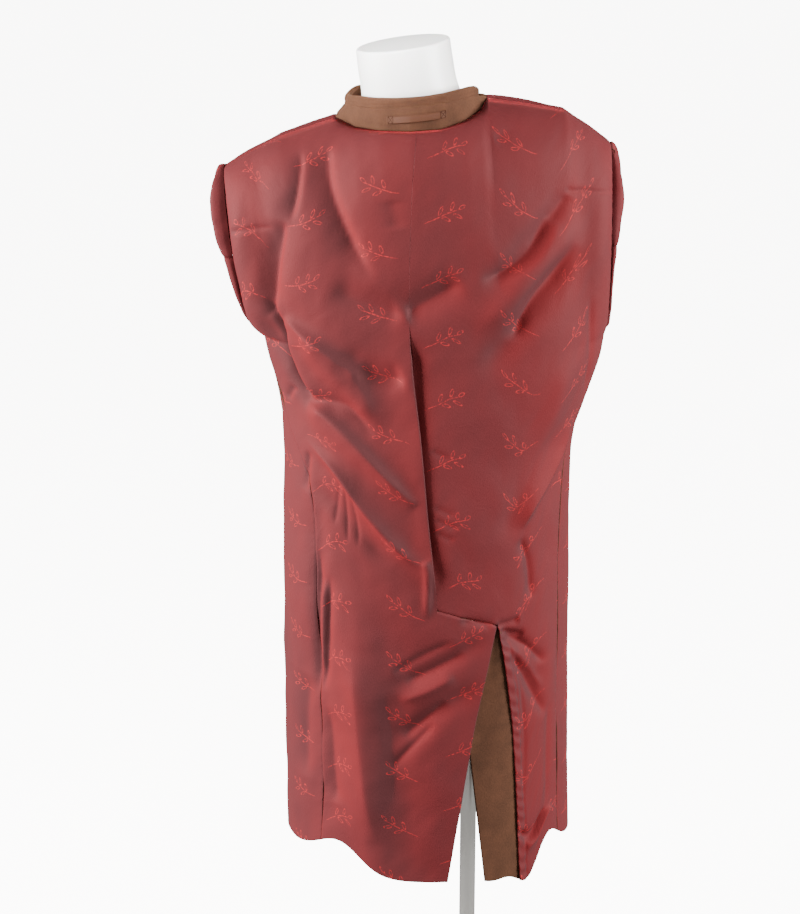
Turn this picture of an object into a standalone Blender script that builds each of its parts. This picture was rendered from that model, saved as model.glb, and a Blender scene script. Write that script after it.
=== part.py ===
"""A wool coat worn inside out on a limbless dress form, so that its lining shows.

The coat hangs with its back towards -Y. Every wall is the wool cloth with its lining:
the outer face is the lining and the inner face is the wool, apart from the collar,
the facings and the vent underlap, which are wool on both faces.
Tables are in millimetres. The floor is z = 0 and the pole stands on the Z axis.
"""

import math
from collections import namedtuple

import bpy
from mathutils import Vector

MM = 0.001

# Cloth
WALL = 3.0
COLLAR_WALL = 3.4
SLEEVE_WALL = 2.6
SEAM_GAP = 0.4
CORNER_GAP = 0.56
FACING_GAP = 0.8
SLEEVE_HEAD_GAP = 1.12
SLEEVE_SEAM_GAP = 1.04

# Coat body: the outline of the outer face at each height, from the hem to the armpit
HEM_Z = 400.0
ARM_Z = 1110.0
Section = namedtuple("Section", "z left right back front squareness")
SECTIONS = (
    Section(400, -249, 138.5, 168, 150, 1.85),
    Section(560, -249, 133, 166, 148, 1.95),
    Section(730, -248.5, 129.5, 162, 146, 2.1),
    Section(900, -245.5, 128, 154, 143, 2.25),
    Section(975, -244.5, 129, 148, 141, 2.3),
    Section(1030, -249, 146, 143, 139, 2.3),
    Section(1080, -263, 162, 139, 137, 2.3),
    Section(1110, -271, 168, 137, 136, 2.3),
)

# Top edges of the back and of the fronts, from shoulder tip to shoulder tip
TopPoint = namedtuple("TopPoint", "x y z")
BACK_TOP = (
    TopPoint(-313, 0, 1319),
    TopPoint(-285, 0, 1335),
    TopPoint(-242, 0, 1357),
    TopPoint(-174, 0, 1380),
    TopPoint(-149, -42, 1376),
    TopPoint(-118, -71, 1377),
    TopPoint(-82, -86, 1378.5),
    TopPoint(-46, -84, 1380.5),
    TopPoint(-15, -61, 1387),
    TopPoint(4, -32, 1395),
    TopPoint(13, 0, 1404),
    TopPoint(54, 0, 1399),
    TopPoint(108, 0, 1390),
    TopPoint(136, 0, 1371),
    TopPoint(167.5, 0, 1348),
)
FRONT_TOP = (
    TopPoint(-313, 0, 1319),
    TopPoint(-285, 0, 1335),
    TopPoint(-242, 0, 1357),
    TopPoint(-174, 0, 1380),
    TopPoint(-163.5, 0, 1392),
    TopPoint(-154, 34, 1386),
    TopPoint(-134, 63, 1370.5),
    TopPoint(-101, 82, 1355),
    TopPoint(-75, 88, 1347),
    TopPoint(-50, 82, 1355),
    TopPoint(-20, 63, 1376),
    TopPoint(-2.5, 33, 1396),
    TopPoint(4.5, 0, 1405),
    TopPoint(13, 0, 1404),
    TopPoint(54, 0, 1399),
    TopPoint(108, 0, 1390),
    TopPoint(136, 0, 1371),
    TopPoint(167.5, 0, 1348),
)
TOP_MIDDLE = (BACK_TOP[0].x + BACK_TOP[-1].x) / 2
TOP_HALF = (BACK_TOP[-1].x - BACK_TOP[0].x) / 2
SHOULDER_ROUNDNESS = 2.8
ARMHOLE_BACK = 56.0
ARMHOLE_FRONT = 52.0
ARMHOLE_SHARE = 0.8
ARMHOLE_OVAL = 2.1

# Lines on the coat
LinePoint = namedtuple("LinePoint", "z x")
CENTRE_BACK = (
    LinePoint(400, -58),
    LinePoint(600, -50),
    LinePoint(784, -47.5),
    LinePoint(907, -59),
    LinePoint(997, -67),
    LinePoint(1140, -82),
    LinePoint(1302, -80),
    LinePoint(1380, -74),
)
SeamPoint = namedtuple("SeamPoint", "z left right")
SIDE_SEAMS = (
    SeamPoint(400, -0.56, 0.72),
    SeamPoint(780, -0.54, 0.70),
    SeamPoint(900, -0.54, 0.71),
    SeamPoint(960, -0.62, 0.76),
    SeamPoint(1010, -0.80, 0.84),
    SeamPoint(1060, -0.92, 0.93),
    SeamPoint(1110, -1.0, 1.0),
)
FrontPoint = namedtuple("FrontPoint", "row left_facing left_edge right_edge right_facing")
FRONT_SHARES = (
    FrontPoint(0.0, -0.56, -0.105, 0.085, 0.54),
    FrontPoint(1.0, -0.50, -0.085, 0.070, 0.46),
    FrontPoint(2.0, -0.4214, -0.115, 0.095, 0.357),
)

# Centre-back pleat: the left half folds over the right half
PLEAT_TOP_START = 1160.0
PLEAT_TOP_FULL = 1040.0
PLEAT_FOOT_START = 786.0
PLEAT_FOOT_FULL = 838.0
PLEAT_RAISE = 3.5
PLEAT_DIP = -7.0
PLEAT_OVER = 11.0
PLEAT_UNDER = 13.0
PLEAT_ROLL = 26.0
LEFT_HALF_WIDTH = 190.0

# Back vent: the left half's edge, the right half's edge and the wool underlap's free edge
VENT_LINE_Z = 784.0
VENT_LINE_DROP = 27.0
VentPoint = namedtuple("VentPoint", "z left right underlap")
VENT = (
    VentPoint(400, -31, 66, 20),
    VentPoint(576, -4.5, 54.5, -1.5),
    VentPoint(616, 2.0, 51.3, -6),
    VentPoint(757, 24, 32, -22),
)
UNDERLAP_DIP = -8.0
UNDERLAP_TOP = 748.0
UNDERLAP_WALL = 2.4
UNDERLAP_COLUMNS = 5
UNDERLAP_CROWDING = 0.8

# Hem: the places where it rides up
Lift = namedtuple("Lift", "x width height")
HEM_LIFTS = (Lift(-182, 30, 24), Lift(104, 22, 30))
LIFT_REACH = 170.0

# How far before its start and after its end a fold fades, as shares of its length
FOLD_OUTSIDE = 0.12
FOLD_INSIDE = 0.2

# The largest folds of the back and of the fronts: a line in the view from behind or from the front
Fold = namedtuple("Fold", "name x0 z0 x1 z1 width height")
BACK_FOLDS = (
    Fold("left armpit trough", -222, 1306, -264, 1150, 14, -11),
    Fold("left blade trough", -190, 1345, -146, 1216, 24, -10),
    Fold("left armpit crease", -262, 1142, -206, 1036, 12, -12),
    Fold("left upper ridge", -214, 1130, -120, 1028, 17, 12),
    Fold("left upper pocket", -162, 1108, -96, 1082, 15, -7),
    Fold("left middle ridge", -210, 1036, -94, 946, 15, 11),
    Fold("left lower ridge", -168, 957, -58, 806, 14, 12),
    Fold("left lower trough", -196, 935, -110, 852, 13, -7),
    Fold("swag left", -170, 1196, -95, 1164, 20, -13),
    Fold("swag right", -86, 1164, -22, 1204, 18, -11),
    Fold("right armpit trough", 114, 1304, 20, 1198, 16, -11),
    Fold("right armpit ridge", 120, 1264, 8, 1150, 15, 8),
    Fold("right blade trough", 117, 1228, 14, 1096, 16, -11),
    Fold("right long ridge", 117, 1100, 60, 903, 16, 9),
    Fold("right long trough", 100, 1010, 36, 880, 15, -7),
    Fold("left side crease", -195, 912, -202, 664, 10, -9),
    Fold("left side hollow", -224, 735, -190, 400, 32, -18),
    Fold("left flank ridge", -152, 802, -156, 460, 26, 8),
    Fold("left flank trough", -100, 684, -104, 410, 26, -13),
    Fold("vent drag upper", 12, 740, -98, 682, 13, -8),
    Fold("vent drag lower", 4, 676, -106, 604, 14, -8),
    Fold("vent drag right", 40, 750, 88, 656, 12, -8),
    Fold("right flank ridge", 96, 800, 100, 470, 16, 5),
)
FRONT_FOLDS = (
    Fold("left shoulder drag", -238, 1304, -170, 1126, 18, -10),
    Fold("left chest ridge", -206, 1184, -150, 950, 20, 8),
    Fold("left hip trough", -196, 930, -186, 560, 22, -12),
    Fold("left hem ridge", -150, 770, -140, 440, 24, 10),
    Fold("right shoulder drag", 106, 1314, 46, 1116, 18, -10),
    Fold("right chest ridge", 80, 1174, 30, 930, 18, 8),
    Fold("right hip trough", 84, 900, 78, 540, 18, -9),
    Fold("right hem ridge", 32, 790, 26, 430, 22, 10),
)

# Back neck facing and collar, from the left neck point round the back to the right one
NeckPoint = namedtuple("NeckPoint", "x y z")
COLLAR_SEAM = (
    NeckPoint(-101, 83, 1356.5),
    NeckPoint(-133, 64, 1371.5),
    NeckPoint(-153, 35, 1387),
    NeckPoint(-162.5, 0, 1393),
    NeckPoint(-153, -30, 1396.5),
    NeckPoint(-118, -63, 1399.5),
    NeckPoint(-72, -78, 1404.5),
    NeckPoint(-33, -66, 1408),
    NeckPoint(-5, -33, 1409),
    NeckPoint(4, 0, 1406),
    NeckPoint(-3, 34, 1397),
    NeckPoint(-20, 64, 1377),
    NeckPoint(-50, 83, 1356),
)
NECK_FROM = 3
NECK_TO = 9
NECK_LEFT_X = -174.0
NECK_RIGHT_X = 13.0
CollarStation = namedtuple("CollarStation", "turn height fall")
COLLAR_STATIONS = (
    CollarStation(0.0, 46, 6),
    CollarStation(0.14, 30, 12),
    CollarStation(0.26, 18, 16),
    CollarStation(0.36, 14, 26),
    CollarStation(0.50, 13, 36),
    CollarStation(0.64, 12, 24),
    CollarStation(0.76, 10, 5),
    CollarStation(0.88, 12, 6),
    CollarStation(1.0, 18, 5),
)
COLLAR_ROLL = 4.6
COLLAR_LEAN = 0.12

# Hanger loop: a flat leather strip stitched down at both ends
LoopEnd = namedtuple("LoopEnd", "x up")
LOOP_ENDS = (LoopEnd(-108.5, 0.47), LoopEnd(-39, 0.57))
LOOP_WIDTH = 9.0
LOOP_THICK = 1.6
LOOP_LIFT = 1.5
LOOP_CLEAR = 1.3
LOOP_END_REACH = 6.0

# Sleeves, pushed inside through the armholes. Sizes are those of the lining's face.
# A loop in the open is given by its lowest and highest points and its half width.
SleeveLoop = namedtuple("SleeveLoop", "under_x under_z top_x top_z half_width forward")
LEFT_LOOPS = (
    SleeveLoop(-263, 1124, -292, 1290, 33, 0),
    SleeveLoop(-257, 1108, -262, 1258, 37, 1),
    SleeveLoop(-249, 1080, -234, 1206, 44, 3),
    SleeveLoop(-236, 1046, -212, 1138, 52, 6),
)
RIGHT_LOOPS = (
    SleeveLoop(160, 1126, 154, 1318, 32, 0),
    SleeveLoop(154, 1108, 132, 1276, 36, 2),
    SleeveLoop(146, 1078, 112, 1214, 42, 6),
    SleeveLoop(133, 1044, 105, 1140, 48, 12),
)
# A flattened loop lies against the coat's inside, at a turn from the centre back and a depth
# below the coat's outer face.
SleeveHug = namedtuple("SleeveHug", "z turn half_turn depth opening")
LEFT_HUGS = (
    SleeveHug(1000, 1.04, 0.26, 20, 16),
    SleeveHug(940, 1.05, 0.28, 22, 6),
    SleeveHug(860, 1.06, 0.28, 23, 3.4),
    SleeveHug(780, 1.07, 0.27, 23, 3.4),
    SleeveHug(712, 1.08, 0.26, 23, 3.4),
)
RIGHT_HUGS = (
    SleeveHug(1000, 1.12, 0.24, 12, 12),
    SleeveHug(940, 1.16, 0.26, 13, 5),
    SleeveHug(860, 1.17, 0.26, 14, 3.4),
    SleeveHug(780, 1.17, 0.25, 14, 3.4),
    SleeveHug(726, 1.17, 0.24, 14, 3.4),
)
LipRing = namedtuple("LipRing", "outward width height foot")
LIP_RINGS = (
    LipRing(9, 1.03, 1.00, 0.985),
    LipRing(17, 0.98, 0.985, 0.965),
    LipRing(20, 0.86, 0.945, 0.945),
    LipRing(16, 0.72, 0.89, 0.925),
    LipRing(6, 0.66, 0.85, 0.905),
)
LEFT_LIP = (1.0, 1.05)
RIGHT_LIP = (0.30, 0.75)
LIP_FOOT = 0.30
# How near the armhole's edge its direction is read, as a quarter turn
EDGE_NUDGE = 1e-6
EDGE_REACH = 0.03

# Buttons, sewn to the wool side of the left front
BUTTON_HEIGHTS = (1225.0, 1095.0, 965.0, 835.0)
BUTTON_RADIUS = 14.0
BUTTON_THICK = 4.0
BUTTON_INSET = 24.0
BUTTON_CLEAR = 1.3
BUTTON_SIDES = 16
BUTTON_BEVEL = 1.2
BUTTON_FRONT_BEVEL = 1.8
FRONT_TOP_Z = 1350.0

# Dress form, in its own frame: up its leaning axis from the centre of its underside
FORM_BASE_Z = 880.8
FORM_BASE_X = -7.0
FORM_LEAN = math.radians(7.5)
FormRing = namedtuple("FormRing", "up half_width half_depth shift_y shift_x squareness")
FORM_RINGS = (
    FormRing(0, 100, 80, 0, 0, 2.1),
    FormRing(12, 105, 84, 0, 0, 2.1),
    FormRing(60, 107, 86, 0, 0, 2.1),
    FormRing(130, 103, 82, 0, 0, 2.1),
    FormRing(200, 113, 88, 0, 0, 2.15),
    FormRing(280, 128, 98, 0, 0, 2.2),
    FormRing(350, 140, 104, 0, 0, 2.3),
    FormRing(405, 156, 100, 0, 0, 2.3),
    FormRing(440, 170, 90, -2, 0, 2.3),
    FormRing(468, 177, 76, -3, 0, 2.3),
    FormRing(483, 171, 66, -4, 0, 2.2),
    FormRing(493, 148, 58, -4, 0, 2.1),
    FormRing(501, 114, 50, -4, 0, 2.0),
    FormRing(508, 82, 50, -4, -2, 2.0),
    FormRing(520, 66, 52, -3, -4, 2.0),
    FormRing(540, 59.5, 56, 0, -5, 2.0),
    FormRing(570, 58.5, 57, 2, -6, 2.0),
    FormRing(595, 58, 57, 3, -6, 2.0),
)
FORM_AROUND = 32
FORM_EDGE = 1.5
FORM_LONG_STEP = 45.0

# Stand
POLE_RADIUS = 11.0
POLE_TOP_Z = 870.0
PLATE_RADIUS = 52.0
PLATE_THICK = 6.0
SOCKET_RADIUS = 17.0
SOCKET_HEIGHT = 23.0
SOCKET_BEVEL = 3.0
POLE_STEP = 21.0
CUT_REACH = 8.0
BASE_RADIUS = 190.0
BASE_THICK = 9.0
BASE_EDGE = 2.5
BOSS_RADIUS = 24.0
BOSS_HEIGHT = 38.0
ROUND_SIDES = 40
PIECE_GAP = 0.3

COLOURS = {
    "lining": ((0.36, 0.055, 0.06, 1), 0.42, 0.0),
    "wool": ((0.15, 0.062, 0.032, 1), 0.9, 0.0),
    "leather": ((0.26, 0.11, 0.065, 1), 0.55, 0.0),
    "button": ((0.05, 0.025, 0.015, 1), 0.4, 0.0),
    "form": ((0.9, 0.89, 0.87, 1), 0.35, 0.0),
    "chrome": ((0.8, 0.8, 0.8, 1), 0.12, 1.0),
    "base": ((0.86, 0.86, 0.85, 1), 0.4, 0.0),
}


def clear_scene():
    for thing in list(bpy.data.objects):
        bpy.data.objects.remove(thing)


def material(name):
    found = bpy.data.materials.get(name)
    if found:
        return found
    colour, roughness, metallic = COLOURS[name]
    made = bpy.data.materials.new(name)
    made.use_nodes = True
    shader = made.node_tree.nodes["Principled BSDF"]
    shader.inputs["Base Color"].default_value = colour
    shader.inputs["Roughness"].default_value = roughness
    shader.inputs["Metallic"].default_value = metallic
    made.diffuse_color = colour
    return made


def add_object(name, points, faces, slot, sharp_deg=40):
    """One named solid from points in millimetres."""
    mesh = bpy.data.meshes.new(name)
    mesh.from_pydata([Vector(p) * MM for p in points], [], faces)
    mesh.validate()
    mesh.shade_smooth()
    mesh.set_sharp_from_angle(angle=math.radians(sharp_deg))
    mesh.materials.append(material(slot))
    thing = bpy.data.objects.new(name, mesh)
    bpy.context.scene.collection.objects.link(thing)
    return thing


def ease(low, high, value):
    """0 at low and 1 at high, with a soft start and end."""
    share = min(1.0, max(0.0, (value - low) / (high - low)))
    return share * share * (3 - 2 * share)


def read_row(rows, value, fields):
    """The named columns of a table at one value of its first column, on a smooth curve through its rows."""
    keys = [row[0] for row in rows]
    value = min(max(value, keys[0]), keys[-1])
    last = len(rows) - 1
    i = max(k for k in range(last) if keys[k] <= value)
    span = keys[i + 1] - keys[i]
    t = (value - keys[i]) / span

    def slope(k, field):
        before, after = max(k - 1, 0), min(k + 1, last)
        rise = getattr(rows[after], field) - getattr(rows[before], field)
        return rise / (keys[after] - keys[before])

    found = []
    for field in fields:
        a, b = getattr(rows[i], field), getattr(rows[i + 1], field)
        found.append(
            (2 * t**3 - 3 * t**2 + 1) * a
            + (t**3 - 2 * t**2 + t) * span * slope(i, field)
            + (3 * t**2 - 2 * t**3) * b
            + (t**3 - t**2) * span * slope(i + 1, field)
        )
    return found


def read_straight(rows, value, fields):
    """The named columns of a table at one value of its first column, on straight lines between its rows."""
    keys = [row[0] for row in rows]
    value = min(max(value, keys[0]), keys[-1])
    i = max(k for k in range(len(rows) - 1) if keys[k] <= value)
    t = (value - keys[i]) / (keys[i + 1] - keys[i])
    return [
        getattr(rows[i], field) * (1 - t) + getattr(rows[i + 1], field) * t
        for field in fields
    ]


# Coat surface. A place on it is a quarter turn q, which is 0 at the centre back, 1 at the
# right side, -1 at the left side and 2 or -2 at the centre front, and a row r, which runs
# from 0 at the hem to 1 at the armpit and on to 2 at the shoulder and neck.


def row_of(z):
    return (z - HEM_Z) / (ARM_Z - HEM_Z)


def section(z):
    left, right, back, front, squareness = read_row(
        SECTIONS, z, ("left", "right", "back", "front", "squareness")
    )
    return (left + right) / 2, (right - left) / 2, back, front, squareness


def turn_of(share, squareness, front=False):
    """The quarter turn at a share of the half width, -1 to 1."""
    turn = math.asin(min(1.0, abs(share)) ** (squareness / 2)) / (math.pi / 2)
    if front:
        turn = 2 - turn
    return math.copysign(turn, share)


def share_of(q, squareness):
    sine = math.sin(q * math.pi / 2)
    return math.copysign(abs(sine) ** (2 / squareness), sine)


def hem_lift(x, z):
    fade = 1 - ease(HEM_Z, HEM_Z + LIFT_REACH, z)
    return fade * sum(
        lift.height * math.exp(-(((x - lift.x) / lift.width) ** 2)) for lift in HEM_LIFTS
    )


def fold_height(folds, x, z):
    total = 0.0
    for fold in folds:
        along = Vector((fold.x1 - fold.x0, fold.z1 - fold.z0))
        length = along.length
        along /= length
        here = Vector((x - fold.x0, z - fold.z0))
        t = here.dot(along) / length
        aside = here.x * along.y - here.y * along.x
        end = ease(-FOLD_OUTSIDE, FOLD_INSIDE, t) * ease(-FOLD_OUTSIDE, FOLD_INSIDE, 1 - t)
        total += fold.height * end * math.exp(-((aside / fold.width) ** 2))
    return total


def smooth_point(q, r):
    """A point of the coat's outer face before its folds."""
    angle = q * math.pi / 2
    front = abs(q) > 1
    z = HEM_Z + (ARM_Z - HEM_Z) * min(r, 1.0)
    middle, half, back, fore, squareness = section(z)
    share = share_of(q, squareness)
    y = (fore if front else back) * abs(math.cos(angle)) ** (2 / squareness)
    x = middle + half * share
    if r > 1:
        rise = min(r - 1, 1.0)
        x1 = TOP_MIDDLE + TOP_HALF * share
        y1, z1 = read_straight(FRONT_TOP if front else BACK_TOP, x1, ("y", "z"))
        near_armhole = ease(ARMHOLE_SHARE, 1.0, abs(share))
        x += (x1 - x) * rise ** (1 - 0.5 * near_armhole)
        z += (z1 - z) * rise
        over = 1 - max(0.0, 1 - rise**SHOULDER_ROUNDNESS) ** (1 / SHOULDER_ROUNDNESS)
        y += (abs(y1) - y) * over
        reach = ARMHOLE_FRONT if front else ARMHOLE_BACK
        oval = max(0.0, 1 - abs(2 * rise - 1) ** ARMHOLE_OVAL) ** (1 / ARMHOLE_OVAL)
        y = math.hypot(y, reach * oval * math.sqrt(near_armhole))
    return Vector((x, y if front else -y, z))


def coat_point(q, r):
    """A point of the coat's outer face, with its folds."""
    point = smooth_point(q, r)
    front = abs(q) > 1
    calm = ease(0, 0.14, abs(abs(q) - 1)) * (1 - ease(1.86, 1.98, r))
    out = fold_height(FRONT_FOLDS if front else BACK_FOLDS, point.x, point.z) * calm
    angle = q * math.pi / 2
    lift = 0.0 if front else hem_lift(point.x, point.z) * calm
    return point + Vector((math.sin(angle) * out, -math.cos(angle) * out, lift))


def surface_normal(q, r, step=0.004):
    """The normal before the folds, which keeps the two edges of a seam parallel."""
    q0, q1 = q - step, q + step
    if abs(q) <= 1:
        q0, q1 = max(q0, -1), min(q1, 1)
    else:
        q0, q1 = (max(q0, 1.0001), q1) if q > 0 else (q0, min(q1, -1.0001))
    r0, r1 = max(r - step, 0), min(r + step, 2)
    across = smooth_point(q1, r) - smooth_point(q0, r)
    up = smooth_point(q, r1) - smooth_point(q, r0)
    return across.cross(up).normalized()


def turn_at(x, r):
    """The quarter turn on the back at an x and a row. Above the armpit it holds near the centre back."""
    middle, half, _, _, squareness = section(HEM_Z + (ARM_Z - HEM_Z) * min(r, 1))
    rise = max(0.0, r - 1)
    middle += (TOP_MIDDLE - middle) * rise
    half += (TOP_HALF - half) * rise
    return turn_of((x - middle) / half, squareness)


def surface_place(q, r, lift=0.0):
    """A point of the coat moved out by lift, with its normal. Shoulder edges are cut square to their seam."""
    normal = surface_normal(q, r)
    point = coat_point(q, r) + normal * lift
    if r > 1.9999 and abs(point.y) < 1:
        normal = Vector((normal.x, 0, normal.z)).normalized()
        point.y = math.copysign(SEAM_GAP / 2, abs(q) - 1)
    return point, normal


def wall_solid(name, outer, normals, mask, slot, thick=WALL):
    """A closed wall from a grid of outer points. mask[i][j] tells whether the cell above row i
    and to the right of column j is cloth."""
    rows, columns = len(outer), len(outer[0])
    used = {}
    points = []

    def corner(i, j):
        if (i, j) not in used:
            used[i, j] = len(points)
            points.append(outer[i][j])
            points.append(outer[i][j] - normals[i][j] * thick)
        return used[i, j]

    def cloth(i, j):
        return 0 <= i < rows - 1 and 0 <= j < columns - 1 and mask[i][j]

    faces = []
    for i in range(rows - 1):
        for j in range(columns - 1):
            if not mask[i][j]:
                continue
            a, b = corner(i, j), corner(i, j + 1)
            c, d = corner(i + 1, j + 1), corner(i + 1, j)
            faces.append((a, b, c, d))
            faces.append((a + 1, d + 1, c + 1, b + 1))
            if not cloth(i - 1, j):
                faces.append((a, a + 1, b + 1, b))
            if not cloth(i, j + 1):
                faces.append((b, b + 1, c + 1, c))
            if not cloth(i + 1, j):
                faces.append((c, c + 1, d + 1, d))
            if not cloth(i, j - 1):
                faces.append((d, d + 1, a + 1, a))
    return add_object(name, points, faces, slot)


def panel(name, places, slot, thick=WALL, mask=None, mirrored=False):
    """A wall from rows of (point, normal) places. A mirrored grid runs from right to left."""
    if mirrored:
        places = [line[::-1] for line in places]
        mask = mask and [line[::-1] for line in mask]
    outer = [[point for point, _ in line] for line in places]
    normals = [[normal for _, normal in line] for line in places]
    mask = mask or [[True] * (len(outer[0]) - 1) for _ in outer[1:]]
    return wall_solid(name, outer, normals, mask, slot, thick)


def evenly(low, high, steps):
    return [low + (high - low) * k / steps for k in range(steps + 1)]


# Panel rows, from the hem to the shoulder, closer together towards the armpit and the shoulder

LEVELS = (
    400, 440, 490, 540, 590, 640, 680, 716, 748, 784,
    808, 836, 872, 912, 952, 992, 1030, 1058, 1084, 1110,
)
UPPER_STEPS = 12
PANEL_ROWS = [row_of(z) for z in LEVELS] + [
    1 + 0.5 * (1 - math.cos(math.pi * k / UPPER_STEPS)) for k in range(1, UPPER_STEPS + 1)
]
SLEEVE_AROUND = 2 * UPPER_STEPS

# Back panels

SIDE_GAP = SEAM_GAP / 350
NECK_COLUMNS = 4
SHOULDER_COLUMNS = 7
VENT_COLUMNS = 4
SLANT_REACH = 100.0
BACK_TOP_Z = 1378.0


def pleat_shares(z):
    """How far the pleat stands open at a height: the share of its depth and of its overlap."""
    top = ease(PLEAT_TOP_START, PLEAT_TOP_FULL, z)
    foot = ease(PLEAT_FOOT_START, PLEAT_FOOT_FULL, z)
    opened = min(top, foot)
    return ease(0, 0.5, opened), ease(0.5, 1, opened)


def slant(z):
    return VENT_LINE_DROP * (1 - ease(0, SLANT_REACH, abs(z - VENT_LINE_Z)))


def side_turn(sign, z):
    """The quarter turn of the side seam."""
    return read_row(SIDE_SEAMS, z, ("left", "right"))[0 if sign < 0 else 1]


def pleat_lift(sign, distance, z):
    deep, _ = pleat_shares(z)
    return (PLEAT_RAISE if sign < 0 else PLEAT_DIP) * deep * math.exp(-((distance / PLEAT_ROLL) ** 2))


def height_of(r):
    """The height of a row, measured at the centre back."""
    if r <= 1:
        return HEM_Z + (ARM_Z - HEM_Z) * r
    return ARM_Z + (BACK_TOP_Z - ARM_Z) * (r - 1)


def back_left():
    """The left half: its fold edge lies over the right half, and below the slanted seam
    it runs on to the vent."""
    neck_share = -turn_at(NECK_LEFT_X, 2)
    shares = evenly(0, neck_share, NECK_COLUMNS)
    shares += evenly(neck_share, 1, SHOULDER_COLUMNS)[1:]
    places, mask = [], []
    for r in PANEL_ROWS:
        z = height_of(r)
        centre = read_row(CENTRE_BACK, z, ("x",))[0]
        line = []
        corner = CORNER_GAP if z == VENT_LINE_Z else 0
        for k in range(VENT_COLUMNS, 0, -1):
            share = k / VENT_COLUMNS
            height = z - slant(z) * share - corner
            vent = read_row(VENT, height, ("left",))[0]
            row = row_of(height)
            line.append(surface_place(turn_at(centre + (vent - centre) * share, row), row))
        _, wide = pleat_shares(z)
        start = turn_at(centre + PLEAT_OVER * wide - SEAM_GAP / 2 - corner, r)
        end = side_turn(-1, min(z, ARM_Z)) + SIDE_GAP
        for share in shares:
            q = start + (end - start) * share
            line.append(surface_place(q, r, pleat_lift(-1, LEFT_HALF_WIDTH * share, z)))
        places.append(line)
        mask.append([z < VENT_LINE_Z - 1] * VENT_COLUMNS + [True] * (len(shares) - 1))
    panel("back_left", places, "lining", mask=mask[:-1], mirrored=True)


def back_right():
    """The right half: it dips under the left half's fold edge, and below the slanted seam
    it starts at the vent."""
    places, mask = [], []
    for r in PANEL_ROWS:
        z = height_of(r)
        centre = read_row(CENTRE_BACK, z, ("x",))[0]
        _, wide = pleat_shares(z)
        edge = centre - PLEAT_UNDER * wide + SEAM_GAP / 2
        vent = read_row(VENT, z, ("right",))[0] + SEAM_GAP / 2
        split = vent + (NECK_RIGHT_X - vent) * max(0.0, r - 1)
        line = []
        for k in range(VENT_COLUMNS):
            share = k / VENT_COLUMNS
            x = edge + (split - edge) * share
            row = r if r > 1 else row_of(z - slant(z) * share)
            line.append(surface_place(turn_at(x, row), row, pleat_lift(1, x - edge, z)))
        end = side_turn(1, min(z, ARM_Z)) - SIDE_GAP
        for share in evenly(0, 1, SHOULDER_COLUMNS):
            row = r
            if r <= 1:
                height = z - slant(z) * (1 - ease(0, 0.8, share))
                row = row_of(height)
                split = read_row(VENT, height, ("right",))[0] + SEAM_GAP / 2
            start = turn_at(split, row)
            line.append(surface_place(start + (end - start) * share, row))
        places.append(line)
        mask.append([z > VENT_LINE_Z - 1] * VENT_COLUMNS + [True] * SHOULDER_COLUMNS)
    panel("back_right", places, "lining", mask=mask[:-1])


def vent_underlap():
    """The wool extension of the right half, under the left half's edge."""
    places = []
    for z in [level for level in LEVELS if level < UNDERLAP_TOP - 1] + [UNDERLAP_TOP]:
        left_vent, right_vent, free = read_row(VENT, z, ("left", "right", "underlap"))
        line = []
        for share in evenly(0, 1, UNDERLAP_COLUMNS):
            x = free + (right_vent - SEAM_GAP / 2 - free) * share**UNDERLAP_CROWDING
            dip = UNDERLAP_DIP * (1 - ease(left_vent + 2, right_vent - SEAM_GAP / 2, x))
            line.append(surface_place(turn_at(x, row_of(z)), row_of(z), dip))
        places.append(line)
    panel("vent_underlap", places, "wool", thick=UNDERLAP_WALL)


# Front panels

FRONT_COLUMNS = 7
FACING_COLUMNS = 3


def front_turn(sign, field, r):
    z = HEM_Z + (ARM_Z - HEM_Z) * min(r, 1)
    if field == "side":
        return side_turn(sign, z) if r < 1 else sign * 1.0
    return turn_of(read_row(FRONT_SHARES, r, (field,))[0], section(z)[4], front=True)


def front_strip(name, sign, from_field, to_field, columns, slot):
    """A strip of one front between two lines, each the side seam or a column of FRONT_SHARES."""
    places = []
    for r in PANEL_ROWS:
        start = front_turn(sign, from_field, r) + sign * SIDE_GAP
        end = front_turn(sign, to_field, r) - sign * SIDE_GAP
        places.append([surface_place(q, r) for q in evenly(start, end, columns)])
    panel(name, places, slot, mirrored=sign < 0)


# Neck


def along_points(points, share):
    """A point on a smooth curve through points, at a share of the way along it."""
    scaled = share * (len(points) - 1)
    i = min(int(scaled), len(points) - 2)
    t = scaled - i
    p = [Vector(points[min(max(k, 0), len(points) - 1)]) for k in (i - 1, i, i + 1, i + 2)]
    return 0.5 * (
        2 * p[1]
        + (p[2] - p[0]) * t
        + (2 * p[0] - 5 * p[1] + 4 * p[2] - p[3]) * t * t
        + (3 * p[1] - p[0] - 3 * p[2] + p[3]) * t**3
    )


def neck_frame(share):
    """A point of the collar seam, with the level direction away from the neck's middle."""
    here = along_points(COLLAR_SEAM, share)
    step = 0.01
    ahead = along_points(COLLAR_SEAM, min(share + step, 1))
    along = ahead - along_points(COLLAR_SEAM, max(share - step, 0))
    away = Vector((-along.y, along.x, 0)).normalized()
    if away.dot(here - Vector((-78, 0, here.z))) < 0:
        away = -away
    return here, away


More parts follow.
